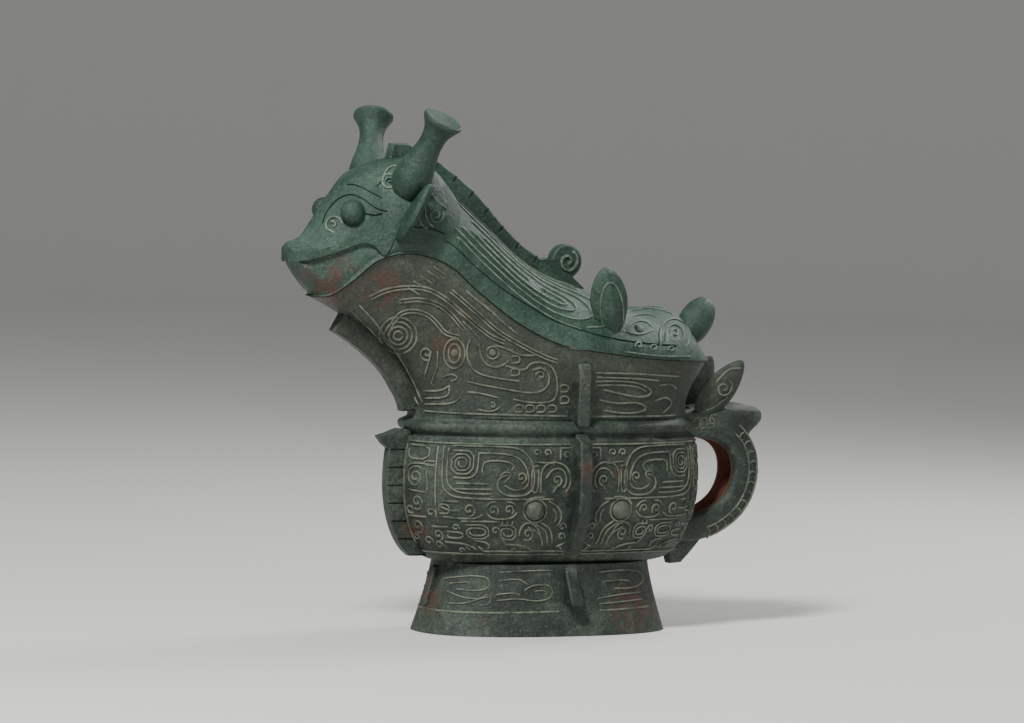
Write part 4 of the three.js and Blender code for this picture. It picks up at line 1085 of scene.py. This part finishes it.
def handle_carving(relief):
    """Scale rows on the handle's outer band and along its sides."""
    path, outward = handle_path(60)
    steps = np.arange(len(path))

    def at(share, out):
        here = np.array([np.interp(share, steps, path[:, k]) for k in (0, 1)])
        away = np.array([np.interp(share, steps, outward[:, k]) for k in (0, 1)])
        return here + away * out, away

    def flat(places):
        spots = [at(step, out)[0] for step, out in places]
        centre = np.array([(x, -HANDLE_WIDTH / 2, z) for x, z in spots])
        return centre, np.tile([0.0, -1.0, 0.0], (len(centre), 1))

    def outer(places):
        spots = [at(step, HANDLE_DEPTH / 2) for step, _ in places]
        centre = np.array([(here[0], y, here[1]) for (here, _), (_, y) in zip(spots, places)])
        return centre, np.array([(away[0], 0, away[1]) for _, away in spots])
    first, last, scales = 9, 50, 17
    fine, marks = np.linspace(first, last, 60), np.linspace(first, last, scales)
    relief.lines(flat, [np.c_[fine, np.full(60, out)] for out in (6.6, 1.4)], 1.2, 0.6)
    relief.lines(flat, [np.array([(step, 1.4), (step + 0.5, 4), (step, 6.6)]) for step in marks], 1.1, 0.6)
    scallops = [np.array([(step, -10), (step + 0.4, -6), (step + 0.4, -1.5)]) for step in marks]
    relief.lines(outer, [*scallops, np.c_[fine, np.full(60, -1.5)]], 1.1, 0.6)


def handle_squares(relief):
    """The row of squares where the handle leaves the shoulder."""
    for x in (86.5, 91.2, 95.9, 100.6):
        relief.lines(plate_face(HANDLE_WIDTH), [nest(x, 112.6, x + 3.8, 118.4, 1.5, 1)], 1.0, 0.6)


def on_leaf(leaf_size, base, tip, outward):
    """Places on a leaf's face, across it and along it, in millimetres."""
    length, width, thickness, keel, blunt = leaf_size

    def find(places):
        across, along = places[:, 0], places[:, 1]
        spread = np.sin(np.pi * np.clip(along / length, 0.02, 0.98)**blunt)**0.6
        u = np.clip(np.abs(across) / (width / 2 * spread), 0, 0.98)
        face = leaf_face(thickness, keel, u) * spread**0.7
        points, _ = placed((np.c_[across, along, face], None), base, tip, outward)
        ahead = np.array(tip, float) - base
        normal = np.array(outward, float) - ahead * np.dot(outward, ahead) / np.dot(ahead, ahead)
        return points, np.tile(normal / np.linalg.norm(normal), (len(points), 1))
    return find


def plate_face(thickness):
    """Places on the near face of a plate in the middle plane, by x and z."""
    def find(places):
        return (np.c_[places[:, 0], np.full(len(places), -thickness / 2), places[:, 1]],
                np.tile([0.0, -1.0, 0.0], (len(places), 1)))
    return find


# What the materials read at each point. The rust spots are across, up and radius, as the camera sees them
RUST_SPOTS = ((-117, 194, 15), (-52, 159, 9), (-88, 191, 12), (-46, 178, 6), (-67, 59, 8), (55, 15, 13),
              (-4, 89, 5), (28, 92, 6), (-58, 18, 7))


def rust_share(points):
    """How far each point of the near side lies in one of the red-brown patches."""
    h, z = across_view(points), points[:, 2]
    share = np.zeros(len(points))
    for spot_h, spot_z, radius in RUST_SPOTS:
        share = np.maximum(share, np.exp(-((h - spot_h)**2 + (z - spot_z)**2) / radius**2))
    return share * (points[:, 1] < 5)


def grime_and_shade_share(points):
    """The vessel's carved fields, darkened partly as grime and partly as painted shade between the lines."""
    z = points[:, 2]
    rim = rim_height(points[:, 0])
    foot = smooth(13, 16, z) * smooth(38, 35, z)
    belly = smooth(44, 47, z) * smooth(107.5, 105, z)
    neck = smooth(121, 124, z) * smooth(rim - 7, rim - 11, z)
    return np.maximum(np.maximum(foot, belly), neck)


def core_share(points):
    """The clay core that shows in the channel along the handle's inside."""
    path = smooth_path(HANDLE_POINTS, 60)
    tangent = np.gradient(path, axis=0)
    outward = np.c_[tangent[:, 1], -tangent[:, 0]]
    near = np.nonzero((points[:, 0] > 97) & (np.abs(points[:, 1]) < 7.7) & (points[:, 2] > 50))[0]
    share = np.zeros(len(points))
    if len(near):
        gap = points[near][:, None, [0, 2]] - path[None]
        nearest = (gap**2).sum(-1).argmin(axis=1)
        side = (gap[np.arange(len(near)), nearest] * outward[nearest]).sum(-1)
        share[near] = side < 1
    return share


def finished(name, form, relief, node, material):
    """Makes the final object of one casting: its solid and its raised lines in one mesh."""
    points, triangles = form
    lines, line_triangles = relief.form()
    triangles = np.concatenate([triangles, line_triangles + len(points)])
    raised = np.concatenate([np.zeros(len(points)), *relief.raised])
    points = np.concatenate([points, lines])
    # The carved fields' share darkens them as grime and as painted shade; the raised share lightens the lines
    # as wear and as a painted highlight.
    shares = {"raised": raised, "rust": rust_share(points), "core": core_share(points),
              "grime_and_shade": grime_and_shade_share(points) * (node == "vessel")}
    thing = mesh_object(name, points, triangles, shares)
    thing.data.materials.append(material)
    thing.data.polygons.foreach_set("use_smooth", [True] * len(thing.data.polygons))
    thing.data.set_sharp_from_angle(angle=math.radians(38))
    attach(thing, "root")
    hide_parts(node)


# Materials
CORE_RED = (0.16, 0.05, 0.03)


def new_material(name):
    """A material with its nodes, its links and its shader."""
    material = bpy.data.materials.new(name)
    material.use_nodes = True
    tree = material.node_tree
    return material, tree.nodes, tree.links, tree.nodes["Principled BSDF"]


def patina(name, dark, middle, light, edge, rust, upper, rust_floor, seed):
    """Aged bronze: mottled greens, grime and painted shade in the carved fields, pale raised lines that are
    partly wear and partly a painted highlight, rust-red patches and the handle's clay core. The upper tone
    comes in over the waist."""
    material, nodes, links, shader = new_material(name)
    place = nodes.new("ShaderNodeTexCoord").outputs["Object"]

    def noise(scale, detail, roughness, offset=0.0):
        node = nodes.new("ShaderNodeTexNoise")
        move = nodes.new("ShaderNodeVectorMath")
        move.operation = "ADD"
        move.inputs[1].default_value = (offset + seed, offset * 0.7, seed)
        links.new(place, move.inputs[0])
        links.new(move.outputs[0], node.inputs["Vector"])
        node.inputs["Scale"].default_value = scale
        node.inputs["Detail"].default_value = detail
        node.inputs["Roughness"].default_value = roughness
        return node.outputs["Fac"]

    def ramp(value, *stops):
        node = nodes.new("ShaderNodeValToRGB")
        links.new(value, node.inputs["Fac"])
        while len(node.color_ramp.elements) < len(stops):
            node.color_ramp.elements.new(0.5)
        for element, (position, shade) in zip(node.color_ramp.elements, stops):
            element.position = position
            element.color = (*shade, 1) if isinstance(shade, tuple) else (shade, shade, shade, 1)
        return node.outputs["Color"]

    def blend(share, a, b):
        node = nodes.new("ShaderNodeMix")
        node.data_type = "RGBA"
        links.new(share, node.inputs["Factor"])
        for socket, value in ((node.inputs[6], a), (node.inputs[7], b)):
            if isinstance(value, tuple):
                socket.default_value = (*value, 1)
            else:
                links.new(value, socket)
        return node.outputs[2]

    def attribute(attribute_name):
        node = nodes.new("ShaderNodeAttribute")
        node.attribute_name = attribute_name
        return node.outputs["Fac"]

    def arithmetic(operation, a, b):
        node = nodes.new("ShaderNodeMath")
        node.operation = operation
        links.new(a, node.inputs[0])
        links.new(b, node.inputs[1])
        return node.outputs[0]

    def times(a, b):
        return arithmetic("MULTIPLY", a, b)

    broad = noise(17, 6, 0.62)
    spots = noise(85, 6, 0.66, 3)
    grain = noise(460, 5, 0.7, 7)
    specks = noise(950, 3, 0.6, 13)
    colour = ramp(broad, (0.36, dark), (0.5, middle), (0.66, light))
    colour = blend(ramp(spots, (0.48, 0.0), (0.66, 0.75)), colour, light)
    colour = blend(ramp(grain, (0.46, 0.0), (0.62, 0.75)), colour, dark)
    # The carved fields darken towards the dark colour: partly grime, partly painted shade between the raised
    # lines.
    colour = blend(times(attribute("grime_and_shade"), ramp(spots, (0.36, 0.75), (0.66, 0.15))), colour, dark)
    height = nodes.new("ShaderNodeSeparateXYZ")
    links.new(place, height.inputs[0])
    over_waist = ramp(height.outputs["Z"], (0.118, 0.0), (0.15, 0.55))
    colour = blend(times(over_waist, ramp(broad, (0.3, 1.0), (0.6, 0.4))), colour, upper)
    patches = ramp(noise(110, 8, 0.75, 11), (0.44, 0.0), (0.56, 1.0))
    colour = blend(ramp(noise(26, 8, 0.72, 11), (rust_floor, 0.0), (rust_floor + 0.08, 0.6)), colour, rust)
    colour = blend(ramp(times(attribute("rust"), patches), (0.12, 0.0), (0.6, 0.8)), colour, rust)
    # The raised lines lighten towards the edge colour: partly wear, partly a painted highlight where light
    # catches their tops.
    wear_and_highlight = ramp(noise(130, 5, 0.7, 5), (0.36, 0.12), (0.58, 0.9))
    colour = blend(times(attribute("raised"), wear_and_highlight), colour, edge)
    colour = blend(ramp(specks, (0.6, 0.0), (0.72, 0.6)), colour, edge)
    colour = blend(times(attribute("core"), ramp(grain, (0.35, 0.75), (0.6, 1.0))), colour, CORE_RED)
    links.new(colour, shader.inputs["Base Color"])
    links.new(ramp(spots, (0.34, 0.44), (0.66, 0.7)), shader.inputs["Roughness"])
    shader.inputs["Metallic"].default_value = 0.15
    shader.inputs["Specular IOR Level"].default_value = 0.5
    bump = nodes.new("ShaderNodeBump")
    bump.inputs["Strength"].default_value = 0.75
    bump.inputs["Distance"].default_value = 0.0011
    links.new(arithmetic("ADD", spots, grain), bump.inputs["Height"])
    links.new(bump.outputs["Normal"], shader.inputs["Normal"])
    return material


# The edge colour serves the pale specks and the painted highlight on the raised lines.
body_metal = patina("patina_body", (0.007, 0.013, 0.009), (0.023, 0.039, 0.028), (0.075, 0.096, 0.069),
                    (0.15, 0.165, 0.12), (0.06, 0.027, 0.018), (0.038, 0.04, 0.024), 0.62, 1.7)
lid_metal = patina("patina_lid", (0.004, 0.014, 0.009), (0.012, 0.04, 0.026), (0.055, 0.1, 0.072),
                   (0.14, 0.18, 0.13), (0.06, 0.024, 0.018), (0.016, 0.05, 0.031), 0.66, 4.1)

# The vessel
vessel_relief = Relief()
belly_carving(vessel_relief)
neck_carving(vessel_relief)
foot_carving(vessel_relief)
handle_carving(vessel_relief)
handle_squares(vessel_relief)
ear_paths = [coil(0, 22, 5.4, 1.7, 200)]
ear_paths += strokes([(-5.6, 22), (-5, 32), (1, 37)], [(5.6, 20), (3, 10), (0, 6)])
vessel_relief.lines(on_leaf(HANDLE_EAR, *HANDLE_EAR_PLACE), ear_paths)
outside, hollows = body()
vessel_form = combined(outside, [*front_flanges(), *side_flanges(), handle()], "UNION")
vessel_form = combined(vessel_form, hollows, "DIFFERENCE")
finished("vessel_casting", vessel_form, vessel_relief, "vessel", body_metal)

# The lid
lid_relief, lid_grooves = Relief(), Relief()
lid_carving(lid_relief, lid_grooves)
head_carving(lid_relief, lid_grooves)
leaf_paths = strokes([(-5.8, 8), (-7, 20), (-4.6, 31), (0, 36.5), (4.6, 31), (7, 20), (5.8, 8)])
lid_relief.lines(on_leaf(LEAF_HORN, *LEAF_HORN_PLACE), leaf_paths)
lid_relief.lines(plate_face(RIDGE_THICKNESS), [coil(*CURL_CENTRE, 6.6, 1.7, 170)], 1.8, 1)
knob = placed(ball((0, 0, 0), (10, 15, 9.5)), (97, 0, 172), (103, 0, 182), (1, 0, 0))
lid_form = combined(lid_shell(0, 40), [head_shell(0, 110, 26), *head_details(), ridge(), knob], "UNION")
lid_hollow = combined(lid_shell(WALL, 14), [head_shell(WALL, 30, 8)], "UNION")
lid_form = combined(lid_form, [lid_grooves.form(), lid_hollow, below_seat()], "DIFFERENCE")
finished("lid_casting", lid_form, lid_relief, "lid", lid_metal)

# Camera: low at the front left, far back, a little tilted
ROLL = math.radians(1.8)
DISTANCE = 3000
LENS = 189.8
TARGET = np.array([0, 0, 145.0])
PICTURE_LEFT, PICTURE_UP = 16.2, 3.7
right = np.array([math.cos(VIEW_AZIMUTH), -math.sin(VIEW_AZIMUTH), 0])
up = np.cross(TOWARD_VIEW, right)
lens_place = TARGET + DISTANCE * TOWARD_VIEW - PICTURE_LEFT * right + PICTURE_UP * up
camera_data = bpy.data.cameras.new("camera")
camera_data.lens = LENS
camera_data.clip_end = 20
camera = linked("camera", camera_data)
aim = Matrix((right, up, TOWARD_VIEW)).transposed() @ Matrix.Rotation(ROLL, 3, "Z")
camera.matrix_world = Matrix.Translation(Vector((lens_place + SHIFT) * MM)) @ aim.to_4x4()
bpy.context.scene.camera = camera


# Floor and light
def plain(name, shade, roughness):
    """A matt material with a hint of cloudiness."""
    material, nodes, links, shader = new_material(name)
    noise = nodes.new("ShaderNodeTexNoise")
    noise.inputs["Scale"].default_value = 3
    ramp = nodes.new("ShaderNodeValToRGB")
    ramp.color_ramp.elements[0].color = (*[c * 0.97 for c in shade], 1)
    ramp.color_ramp.elements[1].color = (*shade, 1)
    links.new(noise.outputs["Fac"], ramp.inputs["Fac"])
    links.new(ramp.outputs["Color"], shader.inputs["Base Color"])
    shader.inputs["Roughness"].default_value = roughness
    return material


def sweep_floor():
    """A round floor that curves up into a plain wall all round, well outside the camera's place."""
    flat, bend, wall = 3.4, 2.0, 5.0
    profile = [(0.0001, 0), (0.5, 0), (1.5, 0), (flat, 0)]
    for t in np.linspace(0.1, math.pi / 2, 12):
        profile.append((flat + bend * math.sin(t), bend - bend * math.cos(t)))
    profile.append((flat + bend, wall))
    around = 96
    x, y = np.cos(full_turn(around)), np.sin(full_turn(around))
    points = np.concatenate([np.c_[radius * x, radius * y, np.full(around, z)] for radius, z in profile])
    mesh = bpy.data.meshes.new("floor")
    mesh.from_pydata(points.tolist(), [], quads(len(profile), around)[:, ::-1].tolist())
    mesh.polygons.foreach_set("use_smooth", [True] * len(mesh.polygons))
    mesh.materials.append(plain("floor_grey", (0.62, 0.61, 0.59), 0.7))
    linked("floor", mesh)


def area_light(name, place, size, power):
    """A square light that looks at the vessel's middle."""
    data = bpy.data.lights.new(name, "AREA")
    data.size = size
    data.energy = power
    light = linked(name, data)
    light.location = place
    light.rotation_euler = (Vector(MIDDLE) - Vector(place)).to_track_quat("-Z", "Y").to_euler()


MIDDLE = (0, 0, 0.15)
sweep_floor()
area_light("key", (-0.95, -0.75, 1.5), 0.35, 52)
area_light("rim", (1.0, 0.35, 0.9), 0.4, 11)
area_light("fill", (0.5, -2.0, 0.7), 1.6, 8)
world = bpy.data.worlds.new("studio")
world.use_nodes = True
background = world.node_tree.nodes["Background"]
background.inputs["Color"].default_value = (0.9, 0.93, 0.96, 1)
background.inputs["Strength"].default_value = 0.4
bpy.context.scene.world = world
